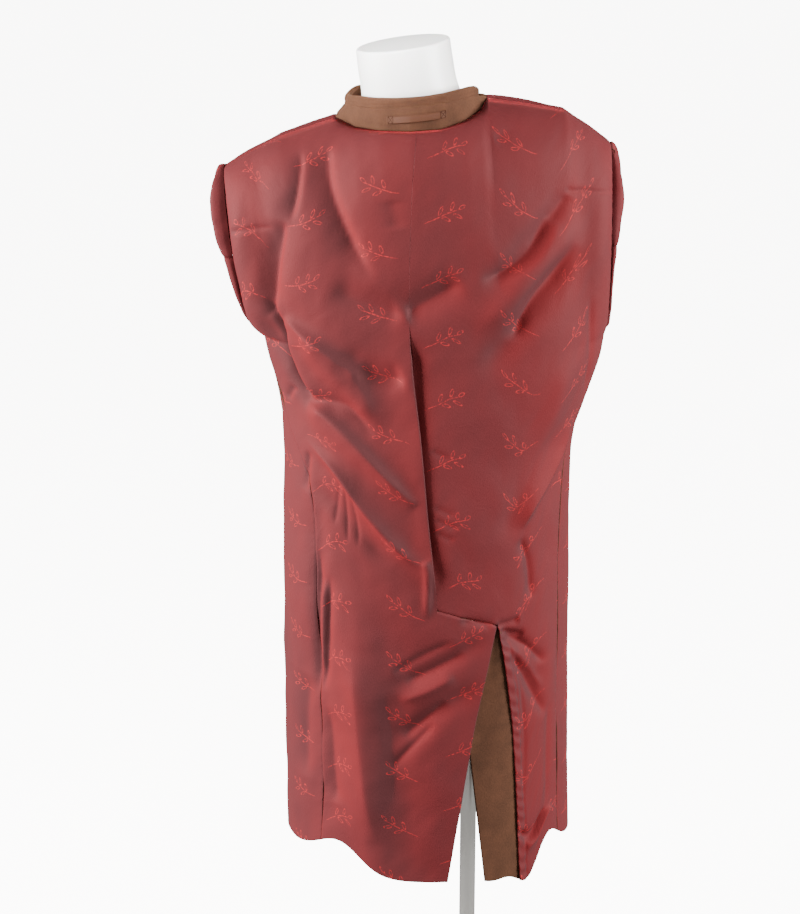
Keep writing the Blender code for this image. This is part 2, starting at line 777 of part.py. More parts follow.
def facing_rows():
    """The back neck facing's grid. Its columns stand on the ends of the back's columns."""
    centre = read_row(CENTRE_BACK, BACK_TOP_Z, ("x",))[0]
    turns = evenly(turn_at(NECK_LEFT_X, 2), turn_at(centre, 2), NECK_COLUMNS)
    turns += [turn_at(x, 2) for x in evenly(centre, NECK_RIGHT_X, VENT_COLUMNS)[1:]]
    lows = [coat_point(q, 2) for q in turns]
    first, last = NECK_FROM / (len(COLLAR_SEAM) - 1), NECK_TO / (len(COLLAR_SEAM) - 1)
    lengths = [0.0]
    for a, b in zip(lows, lows[1:]):
        lengths.append(lengths[-1] + (b - a).length)
    rows = [[], [], []]
    for low, length in zip(lows, lengths):
        high, _ = neck_frame(first + (last - first) * length / lengths[-1])
        rise = (high - low).normalized()
        low = low + rise * FACING_GAP
        high = high - rise * FACING_GAP
        for k, line in enumerate(rows):
            line.append(low + (high - low) * k / 2)
    for line in rows:
        line[0].y = line[-1].y = -SEAM_GAP / 2
    return rows


def back_neck_facing():
    """The wool band between the lining's top edge and the collar."""
    rows = facing_rows()
    normals = grid_normals(rows)
    for line in normals:
        for k in (0, -1):
            line[k] = Vector((line[k].x, 0, line[k].z)).normalized()
    mask = [[True] * (len(rows[0]) - 1) for _ in rows[1:]]
    return wall_solid("back_neck_facing", rows, normals, mask, "wool", WALL)


def grid_normals(rows):
    """The normal of a grid at each point: across its columns turned up its rows."""
    found = []
    last_i, last_j = len(rows) - 1, len(rows[0]) - 1
    for i in range(last_i + 1):
        line = []
        for j in range(last_j + 1):
            across = rows[i][min(j + 1, last_j)] - rows[i][max(j - 1, 0)]
            up = rows[min(i + 1, last_i)][j] - rows[max(i - 1, 0)][j]
            line.append(across.cross(up).normalized())
        found.append(line)
    return found


COLLAR_STEPS = 28
COLLAR_ARC_STEPS = 4


def collar():
    """A stand that rises from the neck seam, rolls over and falls inside, as one bent wall."""
    outer_rows, inner_rows = [], []
    for share in evenly(0, 1, COLLAR_STEPS):
        here, away = neck_frame(share)
        height, fall = read_row(COLLAR_STATIONS, share, ("height", "fall"))
        lean = (Vector((0, 0, 1)) - away * COLLAR_LEAN).normalized()
        foot = here + Vector((0, 0, SEAM_GAP))
        centre = foot + lean * height - away * COLLAR_ROLL
        line_out = [foot, foot + lean * height * 0.5]
        line_in = [p - away * COLLAR_WALL for p in line_out]
        for k in range(COLLAR_ARC_STEPS + 1):
            angle = math.pi * k / COLLAR_ARC_STEPS
            ray = away * math.cos(angle) + lean * math.sin(angle)
            line_out.append(centre + ray * COLLAR_ROLL)
            line_in.append(centre + ray * (COLLAR_ROLL - COLLAR_WALL))
        drop = centre - away * COLLAR_ROLL - lean * fall
        line_out.append(drop)
        line_in.append(drop + away * COLLAR_WALL)
        outer_rows.append(line_out)
        inner_rows.append(line_in)
    return sheet_between("collar", outer_rows, inner_rows, "wool")


def sheet_between(name, outer, inner, slot):
    """A closed wall between two grids of the same size."""
    rows, columns = len(outer), len(outer[0])
    points = [p for line in outer for p in line] + [p for line in inner for p in line]
    count = rows * columns

    def at(i, j, layer):
        return layer * count + i * columns + j

    faces = []
    for i in range(rows - 1):
        for j in range(columns - 1):
            faces.append((at(i, j, 0), at(i + 1, j, 0), at(i + 1, j + 1, 0), at(i, j + 1, 0)))
            faces.append((at(i, j, 1), at(i, j + 1, 1), at(i + 1, j + 1, 1), at(i + 1, j, 1)))
    for i in range(rows - 1):
        j = columns - 1
        faces.append((at(i, 0, 0), at(i, 0, 1), at(i + 1, 0, 1), at(i + 1, 0, 0)))
        faces.append((at(i, j, 0), at(i + 1, j, 0), at(i + 1, j, 1), at(i, j, 1)))
    for j in range(columns - 1):
        i = rows - 1
        faces.append((at(0, j, 0), at(0, j + 1, 0), at(0, j + 1, 1), at(0, j, 1)))
        faces.append((at(i, j, 0), at(i, j, 1), at(i, j + 1, 1), at(i, j + 1, 0)))
    return add_object(name, points, faces, slot)


def hanger_loop():
    """A flat strip on the back neck facing, stitched down at its ends and standing off between them."""
    rows = facing_rows()
    low, _, high = rows
    outward = grid_normals(rows)[1]
    start, end = LOOP_ENDS
    first, last = start.x + LOOP_END_REACH, end.x - LOOP_END_REACH
    stations = [start.x] + [p.x for p in low if first < p.x < last] + [end.x]
    outer, inner = [], []
    for x in stations:
        k = max(i for i in range(len(low) - 1) if low[i].x <= x)
        t = (x - low[k].x) / (low[k + 1].x - low[k].x)
        foot = low[k].lerp(low[k + 1], t)
        head = high[k].lerp(high[k + 1], t)
        up = (head - foot).normalized()
        out = outward[k].lerp(outward[k + 1], t).normalized()
        along = (x - start.x) / (end.x - start.x)
        clear = LOOP_CLEAR + LOOP_LIFT * math.sin(math.pi * along)
        share = start.up + (end.up - start.up) * along
        base = foot + (head - foot) * share + out * clear
        half = up * (LOOP_WIDTH / 2)
        outer.append([base + out * LOOP_THICK - half, base + out * LOOP_THICK + half])
        inner.append([base - half, base + half])
    return sheet_between("hanger_loop", outer, inner, "leather")


# Sleeves


def armhole_ring(sign):
    """The sleeve's first loop, just inside the armhole's edge, with its normals.
    It starts at the armpit and runs up the back and down the front."""
    ring, normals = [], []
    for k in range(SLEEVE_AROUND):
        back = k <= UPPER_STEPS
        r = 1 + 0.5 * (1 - math.cos(math.pi * k / UPPER_STEPS))
        inward = -1 if back else 1
        point, normal = surface_place(sign * (1 + inward * EDGE_NUDGE), r)
        near, _ = surface_place(sign * (1 + inward * EDGE_REACH), r)
        into = (point - near).normalized()
        if k == 0:
            into = Vector((0, 0, 1))
        if k == UPPER_STEPS:
            point.y = 0
        ring.append(point + into * SLEEVE_HEAD_GAP)
        normals.append(normal)
    return ring, normals


def sleeve_rings(sign, loops, hugs, lip):
    """Loops of the lining's face down the tube: the armhole, the puff of the sleeve head, the loops in the
    open and the flattened loops against the coat's inside."""
    first, normals = armhole_ring(sign)
    middle = (first[0] + first[SLEEVE_AROUND // 2]) / 2
    rings = [first]
    for step in LIP_RINGS:
        line = []
        for k, base in enumerate(first):
            angle = 2 * math.pi * k / SLEEVE_AROUND
            size = LIP_FOOT + (1 - LIP_FOOT) * ease(0.12, 0.6, 0.5 * (1 - math.cos(angle)))
            size *= lip[0] + (lip[1] - lip[0]) * ease(-0.3, 0.3, -math.sin(angle))
            reach = base - middle
            line.append(
                Vector(
                    (
                        base.x + sign * step.outward * size,
                        reach.y * step.width,
                        middle.z + reach.z * (step.height if reach.z > 0 else step.foot),
                    )
                )
            )
        rings.append(line)
    for loop in loops:
        low = Vector((loop.under_x, 0, loop.under_z))
        high = Vector((loop.top_x, 0, loop.top_z))
        line = []
        for k in range(SLEEVE_AROUND):
            angle = 2 * math.pi * k / SLEEVE_AROUND
            point = (low + high) / 2 - (high - low) / 2 * math.cos(angle)
            point.y = loop.forward - loop.half_width * math.sin(angle)
            line.append(point)
        rings.append(line)
    for hug in hugs:
        r = row_of(hug.z)
        line = []
        for k in range(SLEEVE_AROUND):
            angle = 2 * math.pi * k / SLEEVE_AROUND
            q = sign * (hug.turn - hug.half_turn * math.sin(angle))
            depth = hug.depth + hug.opening / 2 * (1 - math.cos(angle))
            line.append(smooth_point(q, r) - surface_normal(q, r) * depth)
        rings.append(line)
    return rings, normals


def sleeve(side, sign, loops, hugs, lip):
    """Each sleeve is a top piece and an under piece, seamed at the back and at the front."""
    rings, first_normals = sleeve_rings(sign, loops, hugs, lip)
    count = SLEEVE_AROUND
    normals = [first_normals]
    for i in range(1, len(rings)):
        line = []
        for k in range(count):
            around = rings[i][(k + 1) % count] - rings[i][k - 1]
            down = rings[min(i + 1, len(rings) - 1)][k] - rings[i - 1][k]
            line.append(around.cross(down).normalized() * -sign)
        normals.append(line)
    quarter = count // 4
    under = [k % count for k in range(-quarter, quarter + 1)]
    over = [k % count for k in range(quarter, 3 * quarter + 1)]
    for piece, columns in (("under", under), ("top", over)):
        places = []
        for ring, normal in zip(rings, normals):
            line = [ring[k].copy() for k in columns]
            line[0] += (line[1] - line[0]).normalized() * SLEEVE_SEAM_GAP
            line[-1] += (line[-2] - line[-1]).normalized() * SLEEVE_SEAM_GAP
            places.append([(point, normal[k]) for point, k in zip(line, columns)])
        panel(f"sleeve_{side}_{piece}", places, "lining", thick=SLEEVE_WALL, mirrored=sign > 0)


# Buttons


def button(index, z):
    """A button against the inner, wool face of the left front."""
    squareness = section(z)[4]
    r = row_of(z) if z < ARM_Z else 1 + (z - ARM_Z) / (FRONT_TOP_Z - ARM_Z)
    share = read_row(FRONT_SHARES, r, ("left_edge",))[0]
    middle, half = section(min(z, ARM_Z))[:2]
    q = turn_of(share - BUTTON_INSET / half, squareness, front=True)
    normal = surface_normal(q, r)
    centre = coat_point(q, r) - normal * (WALL + BUTTON_CLEAR)
    level = Vector((0, 0, 1)).cross(normal).normalized()
    up = normal.cross(level)
    sides = BUTTON_SIDES
    rings = (
        (0.0, BUTTON_RADIUS - BUTTON_BEVEL),
        (BUTTON_BEVEL, BUTTON_RADIUS),
        (BUTTON_THICK - BUTTON_BEVEL, BUTTON_RADIUS),
        (BUTTON_THICK, BUTTON_RADIUS - BUTTON_FRONT_BEVEL),
    )
    points = []
    for deep, radius in rings:
        for k in range(sides):
            angle = 2 * math.pi * k / sides
            ray = level * math.cos(angle) + up * math.sin(angle)
            points.append(centre + ray * radius - normal * deep)
    faces = [tuple(range(sides))]
    for i in range(len(rings) - 1):
        for k in range(sides):
            a, b = i * sides + k, i * sides + (k + 1) % sides
            faces.append((a, a + sides, b + sides, b))
    faces.append(tuple(range(len(points) - 1, len(points) - sides - 1, -1)))
    return add_object(f"button_{index}", points, faces, "button")


# Dress form and stand


def form_to_world(point):
    """From the form's own leaning frame to the coat's."""
    lean = FORM_LEAN
    return Vector(
        (
            FORM_BASE_X + point.x * math.cos(lean) - point.z * math.sin(lean),
            point.y,
            FORM_BASE_Z + point.x * math.sin(lean) + point.z * math.cos(lean),
        )
    )


def dress_form():
    """A smooth torso and neck with a flat top, lofted through level rings of its own frame."""
    top = FORM_RINGS[-1].up
    levels = [(0, FORM_EDGE), (FORM_EDGE, 0)]
    for low, high in zip(FORM_RINGS, FORM_RINGS[1:]):
        steps = 2 if high.up - low.up > FORM_LONG_STEP else 1
        levels += [(up, 0) for up in evenly(low.up, high.up, steps)[:-1] if up > 0]
    levels += [(top - FORM_EDGE, 0), (top, FORM_EDGE)]
    points = []
    fields = ("half_width", "half_depth", "shift_y", "shift_x", "squareness")
    for up, inset in levels:
        width, depth, shift_y, shift_x, squareness = read_row(FORM_RINGS, up, fields)
        width, depth = width - inset, depth - inset
        for k in range(FORM_AROUND):
            angle = 2 * math.pi * k / FORM_AROUND
            c, s = math.cos(angle), math.sin(angle)
            x = width * math.copysign(abs(c) ** (2 / squareness), c) + shift_x
            y = depth * math.copysign(abs(s) ** (2 / squareness), s) + shift_y
            points.append(form_to_world(Vector((x, y, up))))
    faces = [tuple(range(FORM_AROUND - 1, -1, -1))]
    for i in range(len(levels) - 1):
        for k in range(FORM_AROUND):
            a, b = i * FORM_AROUND + k, i * FORM_AROUND + (k + 1) % FORM_AROUND
            faces.append((a, b, b + FORM_AROUND, a + FORM_AROUND))
    faces.append(tuple(range(len(points) - FORM_AROUND, len(points))))
    return add_object("dress_form", points, faces, "form")


def turned(name, profile, slot, sides=ROUND_SIDES, place=None):
    """A closed solid turned about the pole's axis from (radius, height) pairs, bottom to top."""
    points = []
    for radius, height in profile:
        for k in range(sides):
            angle = 2 * math.pi * k / sides
            points.append(Vector((radius * math.cos(angle), radius * math.sin(angle), height)))
    if place:
        points = [place(p) for p in points]
    faces = [tuple(range(sides - 1, -1, -1))]
    for i in range(len(profile) - 1):
        for k in range(sides):
            a, b = i * sides + k, i * sides + (k + 1) % sides
            faces.append((a, b, b + sides, a + sides))
    faces.append(tuple(range(len(points) - sides, len(points))))
    return add_object(name, points, faces, slot)


def stand():
    """A steel base with its boss, a chromed pole and the plate under the form."""
    turned(
        "base",
        (
            (BASE_RADIUS - 1, 0),
            (BASE_RADIUS, 1),
            (BASE_RADIUS, BASE_THICK - BASE_EDGE),
            (BASE_RADIUS - BASE_EDGE, BASE_THICK),
            (BOSS_RADIUS + 3, BASE_THICK),
            (BOSS_RADIUS, BASE_THICK + 3),
            (BOSS_RADIUS - 2, BOSS_HEIGHT - 2),
            (BOSS_RADIUS - 4, BOSS_HEIGHT),
        ),
        "base",
    )
    plate_underside = form_to_world(Vector((0, 0, -PLATE_THICK - PIECE_GAP)))

    def cut_to_lean(point):
        if point.z > POLE_TOP_Z - CUT_REACH:
            below = (POLE_TOP_Z - point.z) + PIECE_GAP
            point.z = plate_underside.z + (point.x - plate_underside.x) * math.tan(FORM_LEAN) - below
        return point

    turned(
        "pole",
        (
            (POLE_RADIUS, BOSS_HEIGHT + PIECE_GAP),
            (POLE_RADIUS, POLE_TOP_Z - SOCKET_HEIGHT - POLE_STEP),
            (POLE_RADIUS, POLE_TOP_Z - SOCKET_HEIGHT - 1),
            (SOCKET_RADIUS, POLE_TOP_Z - SOCKET_HEIGHT),
            (SOCKET_RADIUS, POLE_TOP_Z - SOCKET_BEVEL),
            (SOCKET_RADIUS - SOCKET_BEVEL, POLE_TOP_Z),
        ),
        "chrome",
        sides=24,
        place=cut_to_lean,
    )

    def under_form(point):
        return form_to_world(point + Vector((0, 0, -PLATE_THICK - PIECE_GAP)))

    turned(
        "form_plate",
        (
            (PLATE_RADIUS - 1, 0),
            (PLATE_RADIUS, 1),
            (PLATE_RADIUS, PLATE_THICK),
        ),
        "chrome",
        sides=36,
        place=under_form,
    )


def main():
    clear_scene()
    back_left()
    back_right()
    vent_underlap()
    front_strip("front_left", -1, "side", "left_facing", FRONT_COLUMNS, "lining")
    front_strip("front_right", 1, "side", "right_facing", FRONT_COLUMNS, "lining")
    front_strip("facing_left", -1, "left_facing", "left_edge", FACING_COLUMNS, "wool")
    front_strip("facing_right", 1, "right_facing", "right_edge", FACING_COLUMNS, "wool")
    back_neck_facing()
    collar()
    hanger_loop()
    sleeve("left", -1, LEFT_LOOPS, LEFT_HUGS, LEFT_LIP)
    sleeve("right", 1, RIGHT_LOOPS, RIGHT_HUGS, RIGHT_LIP)
    for index, z in enumerate(BUTTON_HEIGHTS, 1):
        button(index, z)
    dress_form()
    stand()


main()
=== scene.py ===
"""A wool coat worn inside out on a limbless dress form, as it looks.

The coat's back faces -Y and its open front +Y. Sizes are in millimetres until a mesh is made.
"""

import math

import bpy
import numpy as np
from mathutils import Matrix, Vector


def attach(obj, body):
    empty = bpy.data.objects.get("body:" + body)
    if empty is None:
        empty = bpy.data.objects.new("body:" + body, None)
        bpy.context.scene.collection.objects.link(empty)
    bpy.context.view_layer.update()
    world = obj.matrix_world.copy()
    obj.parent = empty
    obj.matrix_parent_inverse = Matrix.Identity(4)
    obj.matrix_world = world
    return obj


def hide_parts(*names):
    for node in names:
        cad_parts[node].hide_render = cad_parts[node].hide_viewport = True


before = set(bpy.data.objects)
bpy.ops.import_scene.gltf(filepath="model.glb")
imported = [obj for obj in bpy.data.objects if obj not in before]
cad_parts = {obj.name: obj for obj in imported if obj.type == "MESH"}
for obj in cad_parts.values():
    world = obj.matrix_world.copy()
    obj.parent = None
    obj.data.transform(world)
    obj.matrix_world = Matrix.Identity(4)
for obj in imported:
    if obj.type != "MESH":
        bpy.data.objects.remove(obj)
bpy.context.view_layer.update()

# Base of the stand: a round plate of steel with a welded boss that takes the pole. It is
# cut, turned and powder coated white, with a half gloss and a very faint orange peel.

MM = 0.001
BASE_RADIUS = 190.0
BASE_THICK = 9.0
BOSS_RADIUS = 24.0
BOSS_HEIGHT = 38.0
BOSS_FLARE = 3.0
BOSS_TAPER = 2.0
BOSS_HOLE = 12.5
BOSS_HOLE_DEPTH = 4.0
SHARP_DEG = 35


def linear(code):
    """An sRGB hex colour as linear RGBA."""
    values = [int(code[k : k + 2], 16) / 255 for k in (1, 3, 5)]
    return [v / 12.92 if v <= 0.04045 else ((v + 0.055) / 1.055) ** 2.4 for v in values] + [1.0]


def add_node(tree, kind, inputs=None, **settings):
    """A node with its settings, and a value or a link for each of the given inputs."""
    node = tree.nodes.new("ShaderNode" + kind)
    for key, value in settings.items():
        setattr(node, key, value)
    for key, value in (inputs or {}).items():
        if isinstance(value, bpy.types.NodeSocket):
            tree.links.new(value, node.inputs[key])
        else:
            node.inputs[key].default_value = value
    return node


def add_noise(tree, **inputs):
    return add_node(tree, "TexNoise", inputs).outputs["Fac"]


def new_material(name, **inputs):
    """A material with values on the shader's own sockets, an underscore standing for a space."""
    made = bpy.data.materials.new(name)
    made.use_nodes = True
    shader = made.node_tree.nodes["Principled BSDF"]
    for key, value in inputs.items():
        shader.inputs[key.replace("_", " ")].default_value = value
    return made, made.node_tree, shader


def add_bump(tree, shader, height, strength, distance):
    inputs = {"Height": height, "Strength": strength, "Distance": distance}
    bump = add_node(tree, "Bump", inputs)
    tree.links.new(bump.outputs["Normal"], shader.inputs["Normal"])


def place(thing, slot, *nodes):
    """Let a finished piece stand for its CAD nodes, which are hidden. slot is not used."""
    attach(thing, "root")
    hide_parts(*nodes)


def add_object(name, data):
    thing = bpy.data.objects.new(name, data)
    bpy.context.scene.collection.objects.link(thing)
    return thing


def add_thing(name, points, faces, materials, sharp_deg=SHARP_DEG):
    """A piece from points in millimetres."""
    mesh = bpy.data.meshes.new(name)
    mesh.from_pydata((np.array(points) * MM).tolist(), [], faces)
    mesh.shade_smooth()
    mesh.set_sharp_from_angle(angle=math.radians(sharp_deg))
    for one in materials:
        mesh.materials.append(one)
    return add_object(name, mesh)


def tube_faces(rings, sides, start=0):
    """The faces over rings of points, from point number start, with both ends closed."""
    faces = [tuple(range(start + sides - 1, start - 1, -1))]
    for i in range(rings - 1):
        for k in range(sides):
            a, b = (start + i * sides + n for n in (k, (k + 1) % sides))
            faces.append((a, b, b + sides, a + sides))
    last = start + (rings - 1) * sides
    faces.append(tuple(range(last, last + sides)))
    return faces


def turned(name, profile, made, sides, round_mm, move=None):
    """A body turned about the pole's axis from (radius, height) pairs, with softened edges."""
    angles = np.linspace(0, 2 * np.pi, sides, endpoint=False)
    points = [(r * math.cos(a), r * math.sin(a), h) for r, h in profile for a in angles]
    if move:
        points = [move(*p) for p in points]
    thing = add_thing(name, points, tube_faces(len(profile), sides), [made])
    bevel = thing.modifiers.new("soft edges", "BEVEL")
    bevel.width = round_mm * MM
    bevel.segments = 3
    bevel.angle_limit = math.radians(SHARP_DEG)
    return thing


# Powder coat: its slight orange peel breaks up the highlights
powder_coat, tree, shader = new_material(
    "white powder coat", Base_Color=linear("#ecebe9"), Roughness=0.38, IOR=1.5
)
peel = add_noise(tree, Scale=400.0, Detail=1.0)
add_bump(tree, shader, peel, 0.15, 0.0002)

base = turned(
    "stand_base",
    (
        (BASE_RADIUS, 0),
        (BASE_RADIUS, BASE_THICK),
        (BOSS_RADIUS + BOSS_FLARE, BASE_THICK),
        (BOSS_RADIUS, BASE_THICK + BOSS_FLARE),
        (BOSS_RADIUS - BOSS_TAPER, BOSS_HEIGHT),
        (BOSS_HOLE, BOSS_HEIGHT),
        (BOSS_HOLE, BOSS_HEIGHT - BOSS_HOLE_DEPTH),
    ),
    powder_coat,
    sides=128,
    round_mm=1.2,
)
place(base, "base", "base")

# Pole and its socket: a drawn steel tube of 22 mm, chromed, pushed into the boss, with a pressed
# socket at its top that is cut to the lean of the form.

FORM_BASE_Z = 880.8
FORM_BASE_X = -7.0
FORM_LEAN = math.radians(7.5)
POLE_RADIUS = 11.0
POLE_TOP_Z = 870.0
POLE_PUSHED_IN = 3.0
SOCKET_RADIUS = 17.0
SOCKET_DEPTH = 24.0
PLATE_THICK = 6.0
PLATE_GAP = 0.3


def form_to_world(x, y, z):
    """From the form's own leaning frame to the coat's."""
    c, s = math.cos(FORM_LEAN), math.sin(FORM_LEAN)
    return FORM_BASE_X + x * c - z * s, y, FORM_BASE_Z + x * s + z * c


def cut_to_lean(x, y, z):
    """Slant the socket's top edge to meet the plate."""
    if z > POLE_TOP_Z - 8:
        plate_x, _, plate_z = form_to_world(0, 0, -PLATE_THICK - PLATE_GAP)
        z += plate_z - 0.4 - POLE_TOP_Z + (x - plate_x) * math.tan(FORM_LEAN)
    return x, y, z


# Chrome: bright and almost a mirror, with a faint blur from drawing
chrome, tree, shader = new_material(
    "chromed steel", Base_Color=linear("#efece6"), Roughness=0.2, Metallic=1.0
)
wear = add_noise(tree, Scale=90.0, Detail=3.0)
blur = add_node(tree, "MapRange", {"Value": wear, "To Min": 0.3, "To Max": 0.4})
tree.links.new(blur.outputs["Result"], shader.inputs["Roughness"])

pole = turned(
    "stand_pole",
    (
        (POLE_RADIUS, BOSS_HEIGHT - POLE_PUSHED_IN),
        (POLE_RADIUS, POLE_TOP_Z - SOCKET_DEPTH),
        (SOCKET_RADIUS - 1, POLE_TOP_Z - SOCKET_DEPTH),
        (SOCKET_RADIUS, POLE_TOP_Z - SOCKET_DEPTH + 2),
        (SOCKET_RADIUS, POLE_TOP_Z - 2),
        (SOCKET_RADIUS - 2, POLE_TOP_Z),
    ),
    chrome,
    sides=64,
    round_mm=0.6,
    move=cut_to_lean,
)
place(pole, "chrome", "pole")

# Plate under the form: a pressed steel disc, chromed, that screws to the form's underside. The
# pole's socket meets it from below.

PLATE_RADIUS = 52.0


def under_form(x, y, z):
    return form_to_world(x, y, z - PLATE_THICK - PLATE_GAP)


plate = turned(
    "stand_plate",
    ((PLATE_RADIUS, 0), (PLATE_RADIUS, PLATE_THICK)),
    chrome,
    sides=96,
    round_mm=1.0,
    move=under_form,
)
place(plate, "chrome", "form_plate")

# Dress form: a limbless torso with its neck, blow moulded in white plastic with a soft gloss.
# It leans on its pole, and the coat hangs from its shoulders and neck.

FORM_RINGS = (
    # up, half width, half depth, shift in y, shift in x, squareness
    (0, 100, 80, 0, 0, 2.1), (12, 105, 84, 0, 0, 2.1), (60, 107, 86, 0, 0, 2.1),
    (130, 103, 82, 0, 0, 2.1), (200, 113, 88, 0, 0, 2.15), (280, 128, 98, 0, 0, 2.2),
    (350, 140, 104, 0, 0, 2.3), (405, 156, 100, 0, 0, 2.3), (440, 170, 90, -2, 0, 2.3),
    (468, 177, 76, -3, 0, 2.3), (483, 171, 66, -4, 0, 2.2), (493, 148, 58, -4, 0, 2.1),
    (501, 114, 50, -4, 0, 2.0), (508, 82, 50, -4, -2, 2.0), (520, 66, 52, -3, -4, 2.0),
    (540, 59.5, 56, 0, -5, 2.0), (570, 58.5, 57, 2, -6, 2.0), (595, 58, 57, 3, -6, 2.0),
)
FORM_EDGE = 3.0
FORM_AROUND = 96


def curve(rows, value, column=1):
    """A column of a table, on a smooth curve through its rows, at values of its first column."""
    table = np.array(rows, float)
    keys, data = table[:, 0], table[:, column]
    slopes = np.empty_like(data)
    slopes[1:-1] = (data[2:] - data[:-2]) / (keys[2:] - keys[:-2])
    slopes[[0, -1]] = (data[[1, -1]] - data[[0, -2]]) / (keys[[1, -1]] - keys[[0, -2]])
    value = np.clip(value, keys[0], keys[-1])
    i = np.clip(np.searchsorted(keys, value, side="right") - 1, 0, len(keys) - 2)
    span = keys[i + 1] - keys[i]
    t = (value - keys[i]) / span
    return (
        (2 * t**3 - 3 * t**2 + 1) * data[i]
        + (t**3 - 2 * t**2 + t) * span * slopes[i]
        + (3 * t**2 - 2 * t**3) * data[i + 1]
        + (t**3 - t**2) * span * slopes[i + 1]
    )


def form_body():
    top = FORM_RINGS[-1][0]
    turn = np.linspace(0, np.pi / 2, 6)
    ups = [(FORM_EDGE * (1 - math.cos(a)), FORM_EDGE * (1 - math.sin(a))) for a in turn]
    ups += [(up, 0.0) for up in np.arange(FORM_EDGE + 4, top - FORM_EDGE - 1, 4.0)]
    ups += [(top - FORM_EDGE * (1 - math.sin(a)), FORM_EDGE * (1 - math.cos(a))) for a in turn]
    angles = np.linspace(0, 2 * np.pi, FORM_AROUND, endpoint=False)
    points = []
    for up, inset in ups:
        width, depth, shift_y, shift_x, squareness = (curve(FORM_RINGS, up, k) for k in range(1, 6))
        c, s = np.cos(angles), np.sin(angles)
        xs = (width - inset) * np.sign(c) * np.abs(c) ** (2 / squareness) + shift_x
        ys = (depth - inset) * np.sign(s) * np.abs(s) ** (2 / squareness) + shift_y
        points += [form_to_world(x, y, up) for x, y in zip(xs, ys)]
    return points, tube_faces(len(ups), FORM_AROUND)


# Moulded plastic: white, slightly warm, with a soft gloss and a little light carried inside
plastic, tree, shader = new_material(
    "white moulded plastic",
    Base_Color=linear("#f4f2ef"),
    Roughness=0.34,
    IOR=1.49,
    Subsurface_Weight=0.1,
    Subsurface_Scale=0.004,
)
form = add_thing("form_torso", *form_body(), [plastic], sharp_deg=50)
place(form, "form", "dress_form")

# Back of the coat, left half: one cut piece of wool with its satin lining, which faces out here.
# It is pressed over the right half along the centre-back pleat, and below the slanted seam it
# runs on to the vent. Its side is sewn to the left front and its armhole to the sleeve.

HEM_Z = 400.0
ARM_Z = 1110.0
SECTIONS = (
    # z, left, right, back, front, squareness
    (400, -249, 138.5, 168, 150, 1.85), (560, -249, 133, 166, 148, 1.95),
    (730, -248.5, 129.5, 162, 146, 2.1), (900, -245.5, 128, 154, 143, 2.25),
    (975, -244.5, 129, 148, 141, 2.3), (1030, -249, 146, 143, 139, 2.3),
    (1080, -263, 162, 139, 137, 2.3), (1110, -271, 168, 137, 136, 2.3),
)
BACK_TOP = (
    # x, y, z of the top edge, from shoulder tip to shoulder tip
    (-313, 0, 1319), (-285, 0, 1335), (-242, 0, 1357), (-174, 0, 1380), (-149, -42, 1376),
    (-118, -71, 1377), (-82, -86, 1378.5), (-46, -84, 1380.5), (-15, -61, 1387), (4, -32, 1395),
    (13, 0, 1404), (54, 0, 1399), (108, 0, 1390), (136, 0, 1371), (167.5, 0, 1348),
)
FRONT_TOP = (
    *BACK_TOP[:4], (-163.5, 0, 1392), (-154, 34, 1386), (-134, 63, 1370.5), (-101, 82, 1355),
    (-75, 88, 1347), (-50, 82, 1355), (-20, 63, 1376), (-2.5, 33, 1396), (4.5, 0, 1405), *BACK_TOP[10:],
)
TOP_MIDDLE = (BACK_TOP[0][0] + BACK_TOP[-1][0]) / 2
TOP_HALF = (BACK_TOP[-1][0] - BACK_TOP[0][0]) / 2
SHOULDER_ROUNDNESS = 2.8
ARMHOLE_BACK = 56.0
ARMHOLE_FRONT = 52.0
NECK_LEFT_X = -174.0
NECK_RIGHT_X = 13.0
CENTRE_BACK = (
    (400, -58), (600, -50), (784, -47.5), (907, -59), (997, -67), (1140, -82), (1302, -80), (1380, -74),
)
SIDE_SEAMS = (
    # z, left and right quarter turns
    (400, -0.56, 0.72), (780, -0.54, 0.70), (900, -0.54, 0.71), (960, -0.62, 0.76), (1010, -0.80, 0.84),
    (1060, -0.92, 0.93), (1110, -1.0, 1.0),
)
PLEAT_RAISE = 3.5
PLEAT_DIP = -6.0
PLEAT_UNDER = 13.0
PLEAT_ROLL = 15.0
PLEAT_OPEN_Z = (786, 900, 1040, 1160)
PLEAT_WIDE_Z = (790, 940, 940, 1140)
VENT_LINE_Z = 784.0
VENT_LINE_DROP = 27.0
VENT_LAP = 1.2
BACK_HALF_WIDTH = 190.0
VENT = (
    # z, left half's edge, right half's edge, underlap's free edge
    (400, -31, 66, 20), (576, -4.5, 54.5, -1.5), (616, 2.0, 51.3, -6), (757, 29.5, 32, -22),
)
HEM_LIFTS = ((-178, 42, 38), (106, 20, 34), (76, 18, -24), (34, 28, -12))
LIFT_REACH = 170.0
BACK_TOP_Z = 1378.0
WALL = 3.0
SEAM_GAP = 0.4
SEAM_GROOVE = 0.9
SEAM_HALF_WIDTH = 1.7
SEAM_CALM = 12.0
EDGE_ROUND = 1.4
EDGE_STEPS = (0.2, 0.7, 1.5)
WAVES = 14

